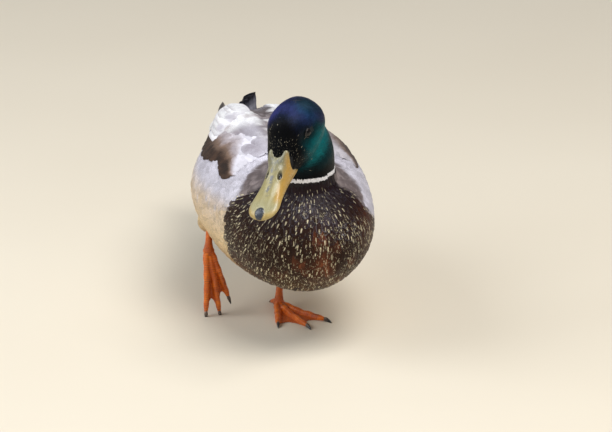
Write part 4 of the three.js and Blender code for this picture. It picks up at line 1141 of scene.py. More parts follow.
leg_parts = []
AX = []  # centre lines (points, mm along, is a web) for the scutes
CLAWS = {}
for side in ("L", "R"):
    ank, joint = map(np.array, LEG[side])
    rows = [[*lerp(ank, joint, t), a, b] for t, a, b in TARSUS_ROWS]
    knob = lambda t, th: 1 + 0.025 * np.sin(t * 2 * np.pi * 19)
    leg_parts.append(outward(*limb(rows, 28, 60, hint=(0, -1, 0.4), bump=knob)))
    AX.append((lerp(ank, joint, np.linspace(0, 1, 40)[:, None]), np.linspace(0, np.linalg.norm(joint - ank), 40)))
    paths = toe_path(side, joint)
    for key, (pts, d) in paths.items():
        rr = [[*p, r * 0.92, r * 0.94] for p, r in zip(pts, TOE_R)]
        leg_parts.append(outward(*limb(rr, 24, 64, hint=(0, 0, 1) if side == "L" else (0, -1, 0), bump=lambda t, th: 1 + 0.03 * np.sin(t * 2 * np.pi * 17))))
        dense = row(pts, np.linspace(0, len(pts) - 1, 60))
        AX.append((dense, np.linspace(0, np.linalg.norm(pts[-1] - pts[0]), 60)))
        CLAWS[side + "_" + key] = (pts[-1], d)
    hd = unit(np.array((-0.25, 1, 0) if side == "L" else (-0.1, 0.75, -0.6)))
    drop = [0, -0.6, -2.4, -3.9] if side == "L" else [0, 0, -0.6, -1.6]
    hs = joint + np.array([0, 0, -2.0])
    hp_ = np.array([hs + hd * t + np.array([0, 0, dz]) for t, dz in zip([0, 6, 10.6, 14.4], drop)])
    leg_parts.append(outward(*limb([[*p, r, r] for p, r in zip(hp_, [2.2, 2.2, 1.9, 1.2])], 20, 24, hint=(0, 0, 1))))
    AX.append((row(hp_, np.linspace(0, 3, 30)), np.linspace(0, 14, 30)))
    CLAWS[side + "_hind"] = (hp_[-1], unit(hp_[-1] - hp_[-2]))
    v, f = ball(4.6, 20, 28)
    leg_parts.append(outward(v * (1.1, 0.95, 0.8) + joint - np.array([0, 0, 2.4]), f))
    # webs
    for ka, kb in (("inner", "middle"), ("middle", "outer")):
        pa, pb = (row(paths[q][0], np.linspace(0, len(TOE_R) - 1, 41)) for q in (ka, kb))
        nI, nJ = 34, 30
        g = np.zeros((nI + 1, nJ + 1, 3))
        for j in range(nJ + 1):
            t = j / nJ
            for i in range(nI + 1):
                q = (0.02 + 0.95 * (i / nI) * (1 - 0.2 * math.sin(math.pi * t))) * 40
                i0 = min(int(q), 39)
                A = lerp(pa[i0], pa[i0 + 1], q - i0)
                B = lerp(pb[i0], pb[i0 + 1], q - i0)
                P = lerp(A, B, t)
                sag = math.sin(math.pi * t)
                if side == "L":
                    P[2] = max(0.45, P[2] - 1.1) - 0.35 * sag + 0.12 * math.sin(t * 26 + 3 * math.sin(i / 5)) * sag
                    P[2] = max(P[2], 0.5)
                else:
                    P[1] += 2.4 * sag + 0.18 * math.sin(t * 24 + 3 * math.sin(i / 5)) * sag
                g[i, j] = P
        nn = unit(np.cross(np.gradient(g, axis=0), np.gradient(g, axis=1)))
        T = 0.5
        top, bot = g + nn * T, g - nn * T
        n_ = (nI + 1) * (nJ + 1)
        ix = lambda i, j: i * (nJ + 1) + j
        fs = []
        for i in range(nI):
            for j in range(nJ):
                fs.append((ix(i, j), ix(i + 1, j), ix(i + 1, j + 1), ix(i, j + 1)))
                fs.append((n_ + ix(i, j), n_ + ix(i, j + 1), n_ + ix(i + 1, j + 1), n_ + ix(i + 1, j)))
        loop = [ix(i, 0) for i in range(nI + 1)] + [ix(nI, j) for j in range(1, nJ + 1)] + [ix(i, nJ) for i in range(nI - 1, -1, -1)] + [ix(0, j) for j in range(nJ - 1, 0, -1)]
        for a_, b_ in zip(loop, loop[1:] + loop[:1]):
            fs.append((b_, a_, n_ + a_, n_ + b_))
        leg_parts.append(outward(np.vstack([top.reshape(-1, 3), bot.reshape(-1, 3)]), fs))

gv, gf = join_parts(leg_parts)
gv, gf = remeshed("legs", gv, gf, 0.5, 2, 0.5)
ax_p = np.vstack([a for a, _ in AX])
ax_s = np.concatenate([s for _, s in AX])
best = np.full(len(gv), 1e9)
bs = np.zeros(len(gv))
for i in range(0, len(gv), 4000):
    d = np.linalg.norm(gv[i:i + 4000, None] - ax_p[None], axis=2)
    k_ = d.argmin(1)
    best[i:i + 4000] = d[np.arange(len(k_)), k_]
    bs[i:i + 4000] = ax_s[k_]
sc = np.stack([bs, sm(3.0, 3.8, best) * (gv[:, 2] < 70), best], -1)
gn = vertex_normals(gv, gf)
plate = np.abs(np.sin(np.pi * bs / 1.9)) ** 0.5
gv = gv + gn * (0.10 * (plate - 0.6) * sm(3.6, 2.8, best))[:, None]
gv[:, 2] = np.maximum(gv[:, 2], 0.03)

# one skin: body and legs together
nb = len(sv)
allv = np.vstack([sv, gv])
allf = list(sf) + [tuple(i + nb for i in f) for f in gf]
skin = make_object("skin", allv, allf, [MAT["skin"], MAT["leg"]])
mi = np.zeros(len(allf), np.int32)
mi[len(sf):] = 1
skin.data.polygons.foreach_set("material_index", mi)
skin_col = np.vstack([markings(sv) * 0.7, np.tile(rgb(190, 96, 40), (len(gv), 1))])
point_attrs(skin, col=skin_col, sc=np.vstack([np.zeros((nb, 3)), sc]))
place(skin, ["trunk", "neck", "head", "wing_L", "wing_R", "thigh_L", "thigh_R", "tarsus_L", "tarsus_R", "foot_L", "foot_R"])

for key, (p, d) in CLAWS.items():
    side = key[0]
    if key.endswith("hind"):
        rows_ = [(-0.8, 0, 0.9), (0.8, 0.1, 1.1), (2.6, -0.2, 0.75), (4.4, -0.9, 0.25)]
        up = Z_
    else:
        rows_ = [(-1.5, 0.4, 1.3), (0.6, 0.7, 1.9), (2.6, 0.5, 1.6), (5.2, -0.4, 1.05), (7.5, -1.6, 0.3)]
        up = Z_ if side == "L" else -Y_
    rr = []
    for a_, u_, r_ in rows_:
        q = p + d * a_ + up * u_
        if side == "L" and not key.endswith("hind"):
            q[2] = max(q[2] - 0.7, r_ - 0.45)
        rr.append([*q, r_ * 0.8, r_])
    v, f = outward(*limb(rr, 28, 40, hint=tuple(up)))
    v[:, 2] = np.maximum(v[:, 2], 0.02)
    t = ((v - p) @ d - rows_[0][0]) / (rows_[-1][0] - rows_[0][0])
    col = mix(const(rgb(92, 70, 54), v), const(rgb(34, 30, 32), v), sm(0.1, 0.7, t))
    col = mix(col, const(rgb(150, 132, 104), v), 0.5 * sm(0.86, 1.0, t))
    ob = make_object("claw_horn_" + key, v, f, [MAT["claw"]])
    point_attrs(ob, col=col, hp=v)
    place(ob, ["claw_" + key])


# ---------------------------------------------------------------- coat
def fx_cols(n, streak, fringe, wave):
    return (np.broadcast_to(streak, n), np.broadcast_to(fringe, n), np.broadcast_to(wave, n))


def on_neck(P):
    return (P[:, 2] > 140) & (P[:, 1] < -30)


def tract(piece, mask, r, seed, L, W, nv, nu, **kw):
    """Scatters and lays one tract of feathers. L, W and the rest may be functions of (P, colour sample point)."""
    P, N = scatter(mask, r, seed)
    if not len(P):
        return
    D = flow(P, N)
    rr = np.random.default_rng(seed + 500)
    get = lambda v: v(P) if callable(v) else v
    Ls = get(L) * (1 + 0.10 * rr.normal(0, 1, len(P)).clip(-2, 2))
    Ws = get(W) * (1 + 0.08 * rr.normal(0, 1, len(P)).clip(-2, 2))
    show = P + D * (Ls * 0.72)[:, None]
    if "h0" in kw:
        kw["h0"] = get(kw["h0"])
    colf = kw.pop("colf", markings)
    fxf = kw.pop("fxf", None)
    tipf = kw.pop("tipf", None)
    if "per_vertex" not in kw:
        kw["col"] = colf(show)
    if fxf:
        kw["fx"] = fxf(P, show, rr)
    if tipf:
        kw["tip"] = tipf(P, show, colf(show), rr)
    vanes(piece, P, N, D, Ls, Ws, nv, nu, **kw)
    print("tract", piece, len(P), flush=True)


def breast_mask(P):
    return (chest_edge(P) > -1.5) & ~(on_neck(P) & (collar_h(P) > -2.4)) & (P[:, 1] < 20)


def near_leg(P):
    dl = np.hypot(P[:, 0] - 9, (P[:, 1] - 35)) + (P[:, 2] > 75) * 99
    dr = np.hypot(P[:, 0] + 57, P[:, 1] - 41) + (P[:, 2] > 92) * 99
    return np.minimum(dl, dr)


def body_mask(P):
    return ~breast_mask(P) & ~(on_neck(P) & (collar_h(P) > -2.4))


def rump_mask(P):
    return body_mask(P) & ((P[:, 1] > 112) & (P[:, 2] > 112) | (P[:, 1] > 124))


def back_mask(P):
    return body_mask(P) & ~rump_mask(P) & (P[:, 2] > 136) & (np.abs(P[:, 0]) < 34)


def belly_mask(P):
    return body_mask(P) & ~rump_mask(P) & (P[:, 2] < 72)


def flank_mask(P):
    return body_mask(P) & ~rump_mask(P) & ~back_mask(P) & ~belly_mask(P)


def head_fx(P, show, rr):
    """Flecks on the face, densest on the forehead by the bill."""
    f, l, u = head_coords(P)
    dens = 0.26 * sm(6, 20, f) * sm(-14, -4, u) + 0.03 * sm(-6, 8, f)
    return ((rr.random(len(P)) < dens) * rr.uniform(0.5, 1.0, len(P)), 0.0, 0.0)


def head_cols(P):
    """Colours of the head and neck down to the white ring, without the ring."""
    h = collar_h(P)
    Q = P.copy()
    Q[:, 2] += np.clip(2.5 - h, 0, 12)
    return markings(Q)


def head_r(P):
    f, l, u = head_coords(P)
    h = collar_h(P)
    r = 1.25 - 0.4 * sm(10, 22, f) * (P[:, 2] > 150)
    eye = np.minimum(np.hypot(f - EYE_AT[0], u - EYE_AT[2]) / 11, 1)
    r = r - 0.35 * (1 - eye) * (P[:, 2] > 175)
    return r + 0.35 * sm(14, 4, h)


def head_mask(P):
    f, l, u = head_coords(P)
    eye = np.hypot((f - EYE_AT[0]) / 1.08, (u - EYE_AT[2]) / 0.9) < 3.7
    bill = (f > 24.5) & (np.abs(l) > 5.2) & (np.abs(l) < 10.9) | (f > 29.5)
    gape = (f > 20.5) & (u < 4) & (np.abs(l) < 10.9)
    return on_neck(P) & (collar_h(P) > 3.7) & ~(eye & (np.abs(l) > 10) & (P[:, 2] > 175)) & ~((bill | gape) & (P[:, 2] > 170) & (P[:, 1] < -100))


def head_L(P):
    f, l, u = head_coords(P)
    eye = 1 - np.minimum(np.hypot(f - EYE_AT[0], u - EYE_AT[2]) / 10, 1)
    base = 4.9 - 2.5 * sm(10, 24, f) - 2.2 * eye * (P[:, 2] > 175)
    return base * (1 + 0.3 * sm(22, 12, collar_h(P))) * (1 - 0.35 * sm(9, 5, collar_h(P)))


def head_h(P):
    """Feathers stand a little fuller on the right side of the crown."""
    f, l, u = head_coords(P)
    return 0.12 + 0.35 * sm(8, -16, l) * sm(2, 22, u) * sm(26, 4, f)


tract("head_feathers", head_mask, head_r, 11, head_L, lambda P: 0.44 * head_L(P), 5, 3, h0=head_h, slope=0.075, camber=0.16, thick=0.07,
      rnd=0.03, conform=True, fxf=head_fx, skew=0.10, colf=head_cols)


def thin_mask(P):
    """Where the feathers part: along the crown and just behind each eye. A second layer fills them."""
    f, l, u = head_coords(P)
    crown = (u > 14) & (f > -32) & (f < 16)
    behind = (np.hypot((f - EYE_AT[0] + 7.5) / 6.0, (u - EYE_AT[2]) / 6.0) < 1) & (np.abs(l) > 8) & (P[:, 2] > 175)
    return head_mask(P) & (crown | behind)


tract("head_feathers", thin_mask, 1.35, 17, 4.6, 2.0, 5, 3, h0=0.3, slope=0.06, camber=0.16, thick=0.07,
      rnd=0.03, conform=True, skew=0.10, colf=head_cols)


def collar_mask(P):
    h = collar_h(P)
    return on_neck(P) & (h > 0.8) & (h < 2.6) & (P[:, 1] < -36)


tract("neck_ring", collar_mask, 0.55, 12, 2.2, 1.2, 5, 3, h0=0.55, slope=0.04, camber=0.12, thick=0.07, rnd=0.02, skew=0.05,
      colf=lambda P: const(C["collar"], P))


def painted_highlight_band(P):
    """Painted highlight: the band across the upper breast where the wet feathers catch the light."""
    d = ((P[..., 0] - 8) / 25) ** 2 + ((P[..., 2] - 125 + 0.42 * P[..., 0]) / 9.5) ** 2
    return np.exp(-d) * (P[..., 1] < -70)


def breast_fx(P, show, rr):
    x, y, z = P.T
    hi = collar_h(P)
    amount = 0.25 + 0.75 * sm(-12, -34, hi)
    n = fbm(P / 9.0, 77)
    clump = fbm(P / np.array([7.0, 7.0, 12.0]), 78)
    on = rr.random(len(P)) < (0.3 + 0.68 * amount) * sm(0.3, 0.54, clump)
    ticks = sm(-26, -46, hi) * (0.45 + 0.55 * rr.random(len(P)))
    # painted highlight: in the band nearly every feather gets a pale streak, a paler fringe and more pale ticks
    painted_hl = painted_highlight_band(show)
    on = np.maximum(on, (painted_hl > 0.2) * (rr.random(len(P)) < 0.95))
    streak = on * (0.42 + 0.58 * rr.random(len(P)) ** 1.2) * sm(0.1, 0.35, n) * (0.35 + 0.65 * amount)
    return (np.clip(streak + painted_hl * 0.75 * rr.random(len(P)), 0, 1), np.clip(0.3 * (0.4 + 0.6 * rr.random(len(P))) + 0.16 * painted_hl * rr.random(len(P)), 0, 1), np.clip(ticks + 0.6 * painted_hl + 0.3 * sm(84, 60, show[:, 2]), 0, 1))


def breast_tip(P, show, col, rr):
    """Feather edges: chestnut and reddish lower down; painted sheen makes them bluish grey on the upper breast, and a
    painted highlight makes them bluish white in the band.
    """
    z = show[:, 2]
    # painted sheen: the edges turn bluish grey higher up the breast
    c = mix(const(rgb(92, 58, 34), show), const(rgb(86, 86, 106), show), sm(90, 116, z)) * (0.3 + 0.7 * rr.random((len(P), 1)))
    # painted highlight: bluish-white edges in the band across the upper breast
    return mix(c, const(rgb(196, 198, 214), show), np.clip(painted_highlight_band(show) * (0.3 + 0.9 * rr.random(len(P))), 0, 1))


def breast_r(P):
    h = collar_h(P)
    return 2.2 + 0.8 * sm(-4, -30, h)


def rufous_and_highlight_cols(P):
    """The breast's colour with the rufous feathers low on the left, and a bluish-grey painted highlight in the band
    across the upper breast.
    """
    c = markings(P)
    # painted highlight: bluish grey mixed into the band across the upper breast
    c = mix(c, const(rgb(74, 68, 80), P), 0.45 * painted_highlight_band(P) * sm(0.3, 0.6, fbm(P / 2.5, 57)))
    c = mix(c, const(rgb(92, 60, 30), P), 0.55 * sm(84, 58, P[..., 2]) * sm(0.3, 0.6, fbm(P / 6.0, 56)))
    for x0, y0, z0, rad, w in ((0, -122, 109, 6, .8), (5, -122, 98, 6.5, .9), (3, -121, 87, 8.5, 1), (9, -119, 79, 7, .8), (-17, -119, 88, 6, .85), (-11, -118, 81, 5, .6),
                              (15, -119, 101, 5, .5), (-4, -113, 72, 6, .5), (30, -108, 84, 6, .5), (22, -100, 66, 7, .5), (-30, -105, 74, 6, .4)):
        d = np.sqrt((P[..., 0] - x0) ** 2 + (P[..., 1] - y0) ** 2 * 0.6 + (P[..., 2] - z0) ** 2)
        c = mix(c, const(rgb(132, 72, 44), P), 0.75 * w * np.clip(np.exp(-(d / (0.85 * rad)) ** 2) * (2.6 * fbm(P / 3.2, 55) - 0.55), 0, 1))
    return c


tract("breast_feathers", breast_mask, breast_r, 21, lambda P: 3.4 * breast_r(P), lambda P: 1.95 * breast_r(P), 7, 5, h0=0.25, slope=0.10,
      camber=0.14, thick=0.11, fxf=breast_fx, tipf=breast_tip, colf=rufous_and_highlight_cols, skew=0.12)


def wing_edge(y):
    """Height of the lower edge of the folded wing's coverts."""
    return np.interp(y, [-44, -30, -24, -8, 17, 30, 60, 96], [141, 136.5, 136.2, 140.2, 138.0, 134.2, 130.3, 128])


def cov_reach(y):
    """How far up from that edge the brown coverts show."""
    return np.interp(y, [-34, -24, -6, 20, 45, 77, 96], [0.5, 3.5, 6.5, 11, 12.5, 11, 5])


def cov_mask(P):
    y, z = P[:, 1], P[:, 2]
    d = z - wing_edge(y)
    return body_mask(P) & (np.abs(P[:, 0]) > 22) & (d > -0.8) & (d < 1.1 * cov_reach(y) + 7 + 7.5 * sm(18, -12, y)) & (y > -33) & (y < 96)


def cov_cols(P):
    """Brown-grey coverts, darker below, paler and greyer towards the scapulars."""
    y, z = P[..., 1], P[..., 2]
    n = fbm(P / 5.0, 61)
    t = (z - wing_edge(y)) / np.maximum(cov_reach(y), 1) + 0.35 * (n - 0.5)
    c = mix(const(rgb(36, 21, 12), P), const(rgb(66, 45, 32), P), sm(0.3, 0.7, n))
    c = mix(c, const(rgb(116, 94, 80), P), sm(0.4, 0.9, t))
    c = mix(c, const(rgb(168, 158, 162), P), sm(0.8, 1.3, t))
    c = mix(c, const(rgb(214, 211, 221), P), sm(1.25, 1.8, t))
    return mix(c, const(rgb(112, 100, 96), P), 0.4 * (P[..., 0] > 0))


# sides: pale grey with fine wavy lines
def side_cols(P):
    """Colour of the right and left sides with the wing coverts' brown patch."""
    c = markings(P)
    x, y, z = P[..., 0], P[..., 1], P[..., 2]
    s = np.abs(x)
    n = fbm(P / 12.0, 31)
    # white top of the scapulars, grey veil lower down
    top = sm(136, 144, z) * sm(24, 54, y) + 0.8 * sm(56, 78, y) * sm(128, 136, z)
    c = mix(c, const(C["white"], P), 0.95 * np.clip(top, 0, 1) * sm(8, 13, s))
    c = mix(c, const(rgb(64, 54, 52), P), 0.85 * sm(13, 8, s + 3 * (n - 0.5)) * sm(46, 70, y) * sm(136, 142, z))
    # brownish veil above the coverts
    zl = wing_edge(y)
    d_ = z - zl + 3.0 * (n - 0.5)
    reach = cov_reach(y)
    halo = sm(-20, 10, y) * sm(100, 60, y) * sm(reach * 2.0, reach * 0.9, d_) * sm(-1, 1, d_) * (s > 24)
    c = mix(c, const(rgb(140, 118, 104), P), 0.6 * halo * np.where(x < 0, 1.0, 0.5))
    # soft clouds of brown-grey and white over the scapulars
    m = fbm(P / np.array([9.0, 16.0, 9.0]), 83)
    sc_ = sm(-20, 10, y) * sm(110, 80, y) * sm(138, 142, z)
    c = mix(c, const(rgb(178, 166, 168), P), 0.6 * sc_ * sm(0.52, 0.68, m))
    c = mix(c, const(C["white"], P), 0.7 * sc_ * sm(0.46, 0.34, m))
    # a grey-brown spot higher on the shoulder
    d = np.hypot((y - 17) / 11, (s - 39) / 7)
    c = mix(c, const(rgb(138, 128, 138), P), 0.6 * np.exp(-d * d) * (z > 140))
    return c


def side_fx(P, show, rr):
    z = show[:, 2]
    return (0.0, 0.12 + 0.0 * z, 0.5 * sm(48, 70, z) * sm(-100, -70, -np.abs(show[:, 1] - 20)))


def side_tip(P, show, col, rr):
    return np.clip(col * 1.15 + 0.03, 0, 1)


def leg_r(base):
    return lambda P: base - (base - 2.6) * sm(24, 10, near_leg(P))


tract("belly_feathers", belly_mask, leg_r(4.3), 31, lambda P: 3.9 * leg_r(4.3)(P), lambda P: 2.2 * leg_r(4.3)(P), 7, 5, h0=0.3, slope=0.08,
      camber=0.13, thick=0.12, fxf=side_fx, tipf=side_tip, per_vertex=lambda V, fu, fv: side_cols(V))
def flank_r(P):
    """Smaller feathers on the shoulder by the breast, larger along the flank."""
    e = chest_edge(P)
    return leg_r(4.8)(P) - 1.3 * sm(-34, -12, e)


tract("flank_feathers", flank_mask, flank_r, 41, lambda P: 4.4 * flank_r(P), lambda P: 2.1 * flank_r(P), 9, 5, h0=0.3, slope=0.05,
      camber=0.08, thick=0.12, fxf=side_fx, tipf=side_tip, per_vertex=lambda V, fu, fv: side_cols(V))
tract("mantle_feathers", back_mask, 4.2, 51, 18.0, 9.5, 8, 5, h0=0.6, slope=0.06, camber=0.10, thick=0.12,
      fxf=lambda P, s, rr: (0.0, 0.3, 0.4), tipf=lambda P, s, c, rr: np.clip(c * 1.4 + 0.03, 0, 1), per_vertex=lambda V, fu, fv: side_cols(V))


def scap_mask(P):
    s = np.abs(P[:, 0])
    up = 1.0 * cov_reach(P[:, 1]) + 6.0 + 7.5 * sm(18, -12, P[:, 1])
    return body_mask(P) & (P[:, 2] > wing_edge(P[:, 1]) + up) & (P[:, 1] > -34) & (P[:, 1] < 96) & (s > 15)


tract("covert_feathers", cov_mask, 2.9, 58, 13.0, 6.6, 8, 5, h0=1.5, slope=0.05, camber=0.12, thick=0.13,
      fxf=lambda P, s, rr: (0.0, 0.2, 0.0), tipf=lambda P, s, c, rr: np.clip(cov_cols(s) * 1.25 + 0.01, 0, 1), per_vertex=lambda V, fu, fv: cov_cols(V))


def scap_cols(P):
    """The scapulars' colours, with the grey smudges on the right shoulder."""
    c = side_cols(P)
    n = fbm(P / 4.0, 63)
    for x0, y0, rad, w in ((-38, -6, 13, 0.75), (-34, 30, 10, 0.65), (-30, -16, 9, 0.5)):
        d = np.hypot(P[..., 0] - x0, (P[..., 1] - y0) * 0.6)
        c = mix(c, const(rgb(128, 120, 130), P), w * np.clip(np.exp(-(d / rad) ** 2) * (0.45 + n), 0, 1))
    return c


tract("scapular_feathers", scap_mask, 5.6, 61, 30.0, 13.0, 12, 7, h0=2.0, slope=0.035, camber=0.11, thick=0.16,
      fxf=lambda P, s, rr: (0.0, 0.2, 0.35), tipf=lambda P, s, c, rr: np.clip(c * 1.25 + 0.03, 0, 1),
      per_vertex=lambda V, fu, fv: scap_cols(V))
tract("rump_feathers", rump_mask, 3.6, 71, lambda P: 14.0 + 9.0 * sm(140, 175, P[:, 1]), 7.5, 7, 5, h0=0.5, slope=0.09, camber=0.13, thick=0.12,
      fxf=lambda P, s, rr: (0.0, 0.4, 0.0), tipf=lambda P, s, c, rr: np.clip(c * 2.0 + rgb(10, 14, 16), 0, 1))

# explicit feathers of the folded wings
for sg in (-1, 1):
    # tertials: soft blades that make the rounded top of the folded wing
    n = 8
    k_ = np.arange(n)
    top = sg < 0
    roots = np.stack([sg * (50 - 4.6 * k_), 40 + 3.5 * k_, 150 + 0 * k_], -1).astype(float)
    R, Nn = snap(roots)
    R = R + Nn * (1.6 + 0.12 * k_[:, None])
    if top:
        tips = np.stack([-(33 - 3.0 * k_), 130 + 3.6 * k_ - 0.28 * (k_ - 3.5) ** 2, 127.0 + 9.5 * np.sin(0.5 * np.pi * np.clip(k_ / 4.0, 0, 1))], -1)
    else:
        tips = np.stack([38 - 1.9 * k_, 126 + 2.2 * k_, 128.5 + 0.4 * k_], -1)
    t = np.linspace(0, 1, 22)
    sp = R[:, None] + (tips - R)[:, None] * t[None, :, None]
    sp[..., 2] += ((2.6 if top else 4.5) * np.sin(np.pi * t))[None]
    sp[..., 0] += sg * (2.5 * np.sin(np.pi * t))[None] * (1 - k_ / 8)[:, None]
    sp -= Nn[:, None] * (2.6 * sm(0.34, 0.0, t))[None, :, None]  # their bases lie under the scapulars
    n0, n1_ = Nn, unit(np.stack([sg * (0.85 - 0.11 * k_), 0.25 + 0 * k_, 1 + 0 * k_], -1))
    nrm = unit(n0[:, None] * (1 - t)[None, :, None] + n1_[:, None] * t[None, :, None])

    def tert_col(V, fu, fv):
        m = fbm(V / np.array([5.0, 14.0, 5.0]), 90)
        c = const(rgb(250, 250, 252), V)
        # painted shade: grey mottling strongest towards the bases, which lie under the scapulars, and grey along the
        # edges where the blades overlap; the inner edge is darker brown-grey, partly the inner web's own colour and
        # partly painted shade under the next blade; the left wing is greyer overall
        c = mix(c, const(rgb(196, 191, 203), V), 0.8 * sm(0.48, 0.66, m) * sm(1.0, 0.5, fv))
        c = mix(c, const(rgb(190, 182, 186), V), 0.6 * sm(0.55, 0.95, np.abs(fu)))
        c = mix(c, const(rgb(186, 180, 190), V), 0.6 * sm(0.45, 0.1, fv) + (0.25 if sg > 0 else 0.0))
        return mix(c, const(rgb(150, 138, 132), V), 0.5 * sm(-0.7, -0.98, fu * sg))

    vanes("tertials", R, Nn, unit(tips - R), np.linalg.norm(tips - R, axis=1), 13.5, 22, 9, h0=0.22 * k_, slope=0.0, camber=0.10, thick=0.2, kind="long",
          rnd=0.05, skew=0.0, path=(sp, nrm), per_vertex=tert_col, fx=(0, 0.35, 0.25), tip=np.tile(rgb(232, 230, 236), (n, 1)))
    # speculum: a row of secondaries low on the folded wing
    n = 8
    k_ = np.arange(n)
    roots = np.stack([sg * (58 - 1.6 * k_), 40 + 7.0 * k_, 134 + 0.5 * k_], -1).astype(float)
    R, Nn = snap(roots)
    D = np.tile([-0.12 * sg, 1, 0.02], (n, 1))
    D = unit(D - Nn * (D * Nn).sum(-1, keepdims=True))

    def spec_col(V, fu, fv):
        c = mix(const(C["spec"], V), const(rgb(60, 30, 120), V), 0.5 * sm(0.2, 0.9, fu))
        c = mix(c, const(rgb(12, 12, 16), V), sm(0.80, 0.84, fv))
        return mix(c, const(rgb(240, 240, 242), V), sm(0.91, 0.94, fv))

    vanes("secondaries", R, Nn, D, 46.0, 13.0, 18, 7, h0=(2.3 if sg > 0 else 1.0) + 0.12 * k_, slope=0.012, camber=0.10, thick=0.16, kind="long", rnd=0.02, skew=0.02,
          per_vertex=spec_col, fx=(0, 0.0, 0.0), tip=np.tile(rgb(240, 240, 242), (n, 1)))
    # primaries: long narrow blades, their tips crossing over the rump
    n = 6
    k_ = np.arange(n)
    roots = np.stack([sg * (30 - 0.5 * k_), 98 + 1.0 * k_, 141.5 + 0.3 * k_], -1)
    tips = np.stack([sg * (12.5 + 1.6 * k_), 184 - 7.5 * k_, 131.2 + 0.9 * k_], -1)
    t = np.linspace(0, 1, 24)
    sp = roots[:, None] + (tips - roots)[:, None] * t[None, :, None]
    sp[..., 0] += sg * (1.6 * np.sin(np.pi * t))[None]
    sp[..., 2] += (2.0 * np.sin(np.pi * t))[None] - (9 * sm(96, 158, sp[..., 1]) if sg > 0 else 2.5 * t[None])
    nrm = np.tile(unit(np.array([sg * 0.38, 0.05, 0.92])), (n, 24, 1))

    def prim_col(V, fu, fv):
        c = const(C["prim"], V)
        c = mix(c, const(rgb(140, 128, 120), V), 0.5 * sm(0.3, 0.9, fu * sg))
        return mix(c, const(rgb(48, 42, 40), V), 0.6 * sm(0.6, 1.0, fv))

    vanes("primaries", roots, nrm[:, 0], unit(tips - roots), np.linalg.norm(tips - roots, axis=1), 8.0, 24, 7, h0=0.0, slope=0.0, camber=0.14,
          thick=0.22, kind="point", rnd=0.0, path=(sp, nrm), per_vertex=prim_col, fx=(0, 0.15, 0.0), tip=np.tile(rgb(176, 166, 156), (n, 1)))

# tail: eighteen rectrices in a shallow fan, the middle pair on top
n = 18
a = (np.arange(n) - (n - 1) / 2) / ((n - 1) / 2)
order = np.argsort(-np.abs(a))
t = np.linspace(0, 1, 22)
roots = np.stack([8 * a, 156 + 0 * a, 111.6 - 1.0 * a * a], -1)
tips = np.stack([14 * np.sin(a * 1.15) / np.sin(1.15), 238 - 15 * a * a, 94.6 - 2.6 * a * a], -1)
sp = roots[:, None] + (tips - roots)[:, None] * t[None, :, None]
sp[..., 2] += (1.0 * np.sin(np.pi * t))[None] + (1.3 * (1 - np.abs(a)))[:, None]
nrm = unit(np.stack([0.35 * a, 0.15 + 0 * a, 1 + 0 * a], -1))[:, None].repeat(22, 1)


def tail_col(V, fu, fv):
    edge = sm(0.25, 0.85, np.abs(fu))
    c = mix(const(C["tailc"], V), const(C["tailw"], V), edge)
    outer = sm(6, 15, np.abs(V[:, 0]))
    return mix(c, const(C["tailw"], V), 0.75 * outer)


vanes("tail_feathers", roots, nrm[:, 0], unit(tips - roots), np.linalg.norm(tips - roots, axis=1), 12.5, 22, 7, h0=0.0, slope=0.0, camber=0.10,
      thick=0.2, kind="long", rnd=0.0, path=(sp, nrm), per_vertex=tail_col, fx=(0, 0.5, 0.2), tip=np.tile(rgb(250, 248, 244), (n, 1)))

# the drake's four curled feathers above the tail
paths, nrms = [], []
CURLS = (
    [(5.0, 134, 124), (5.6, 160, 122), (6.8, 176, 138), (9.4, 158, 147.0)],
    [(3.2, 134, 124), (3.6, 158, 122), (4.8, 173, 136.5), (7.4, 157, 145.0)],
    [(-0.5, 134, 124), (-0.6, 157, 122), (1.0, 170, 134), (4.0, 156, 142.0)],
    [(-4.5, 134, 124), (-4.8, 155, 122), (-3.6, 165, 131), (-2.4, 154, 136.0)],
)
for c_ in CURLS:
    c_ = np.array(c_, float)
    t = np.linspace(0, 1, 26)[:, None]
    p = (1 - t) ** 3 * c_[0] + 3 * t * (1 - t) ** 2 * c_[1] + 3 * t * t * (1 - t) * c_[2] + t**3 * c_[3]
    # the last third rolls over forward
    r_ = sm(0.72, 1.0, t[:, 0])
    p[:, 1] -= 3.0 * r_
    p[:, 2] -= 1.2 * r_ * r_
    tan = unit(np.gradient(p, axis=0))
    side = unit(np.array([1.0, 0, 0.12]))
    paths.append(p)
    nrms.append(unit(np.cross(side, tan)))
paths, nrms = np.array(paths), np.array(nrms)
n = len(paths)
# the curled feathers are dark; their slate grey is partly their own colour and partly a painted bluish sheen, with
# darker edges
vanes("curled_feathers", paths[:, 0], nrms[:, 0], unit(paths[:, 1] - paths[:, 0]), 46.0, np.array([12.0, 10.5, 9.5, 8.0]), 26, 7, h0=0.0, slope=0.0, camber=-0.10, thick=0.25,
      kind="curl", rnd=0.0, path=(paths, nrms), col=np.tile(rgb(108, 107, 120), (n, 1)), tip=np.tile(rgb(62, 60, 70), (n, 1)), fx=(0, 0.5, 0.0))

finish_coat("head_feathers", MAT["head"])
finish_coat("neck_ring", MAT["body"])
finish_coat("breast_feathers", MAT["breast"])
finish_coat("belly_feathers", MAT["body"])
finish_coat("flank_feathers", MAT["body"])
finish_coat("mantle_feathers", MAT["body"])
finish_coat("covert_feathers", MAT["body"])
finish_coat("scapular_feathers", MAT["body"])
finish_coat("rump_feathers", MAT["rump"])
finish_coat("tertials", MAT["body"])
finish_coat("secondaries", MAT["spec"])
prim = finish_coat("primaries", MAT["wing"])
tail = finish_coat("tail_feathers", MAT["wing"])
curl = finish_coat("curled_feathers", MAT["curl"])
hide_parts("primaries_L", "primaries_R")
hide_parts("tail")
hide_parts("curl_L", "curl_R")

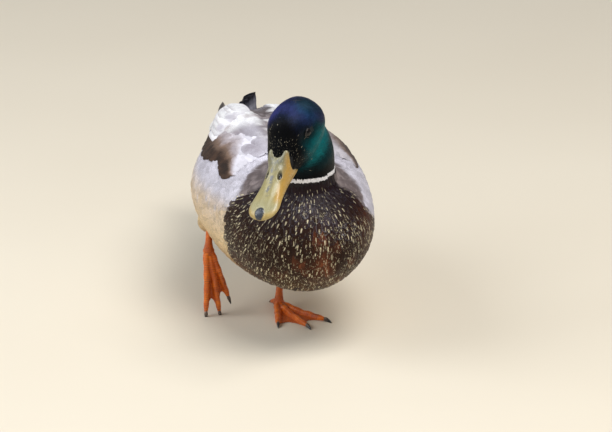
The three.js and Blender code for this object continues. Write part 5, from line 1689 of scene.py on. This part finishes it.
# ---------------------------------------------------------------- floor, light, camera
fl = bpy.data.meshes.new("floor")
q = 6.0
fl.from_pydata([(-q, -q, 0), (q, -q, 0), (q, q, 0), (-q, q, 0)], [], [(0, 1, 2, 3)])
floor = bpy.data.objects.new("floor", fl)
floor.data.materials.append(MAT["floor"])
bpy.context.scene.collection.objects.link(floor)

az, el = math.radians(-13.5), math.radians(20)
right = np.array([math.cos(az), math.sin(az), 0])
back = np.array([math.cos(el) * math.sin(az), -math.cos(el) * math.cos(az), math.sin(el)])
up = np.cross(back, right) * -1 if np.cross(back, right)[2] < 0 else np.cross(back, right)
B = np.array([0, -60, 98.0]) + SHIFT
aim = B + 3.3 * right + 10 * up
loc = (aim + back * 5000) * MM


def look(ob, frm, to):
    ob.location = Vector(frm)
    ob.rotation_euler = (Vector(to) - Vector(frm)).to_track_quat("-Z", "Y").to_euler()


cam_data = bpy.data.cameras.new("camera")
cam_data.sensor_width = 36.0
cam_data.sensor_fit = "HORIZONTAL"
cam_data.lens = 36.0 * 6000 / 612
cam_data.clip_end = 50
cam = bpy.data.objects.new("camera", cam_data)
look(cam, loc, aim * MM)
bpy.context.scene.collection.objects.link(cam)
bpy.context.scene.camera = cam


def area(name, offset, size, power, color=(1, 1, 1)):
    d = bpy.data.lights.new(name, "AREA")
    d.shape = "RECTANGLE"
    d.size, d.size_y = size
    d.energy = power
    d.color = color
    o = bpy.data.objects.new(name, d)
    at = aim * MM + offset[0] * right + offset[1] * np.array([0, 0, 1]) + offset[2] * np.array([back[0], back[1], 0])
    look(o, at, aim * MM)
    bpy.context.scene.collection.objects.link(o)
    return o


area("key", (0.55, 1.9, 0.6), (1.3, 1.1), 44, (1.0, 0.985, 0.96))
area("sky_left", (-1.5, 1.1, 0.2), (1.3, 1.3), 24, (0.92, 0.96, 1.0))
area("front_fill", (0.3, 0.4, 2.6), (2.0, 1.2), 6, (1.0, 0.98, 0.95))

world = bpy.data.worlds.new("studio")
bpy.context.scene.world = world
world.use_nodes = True
bg = world.node_tree.nodes.get("Background") or world.node_tree.nodes.new("ShaderNodeBackground")
bg.inputs[0].default_value = (0.93, 0.96, 1.0, 1)
bg.inputs[1].default_value = 0.28
bpy.context.scene.view_settings.view_transform = "Standard"
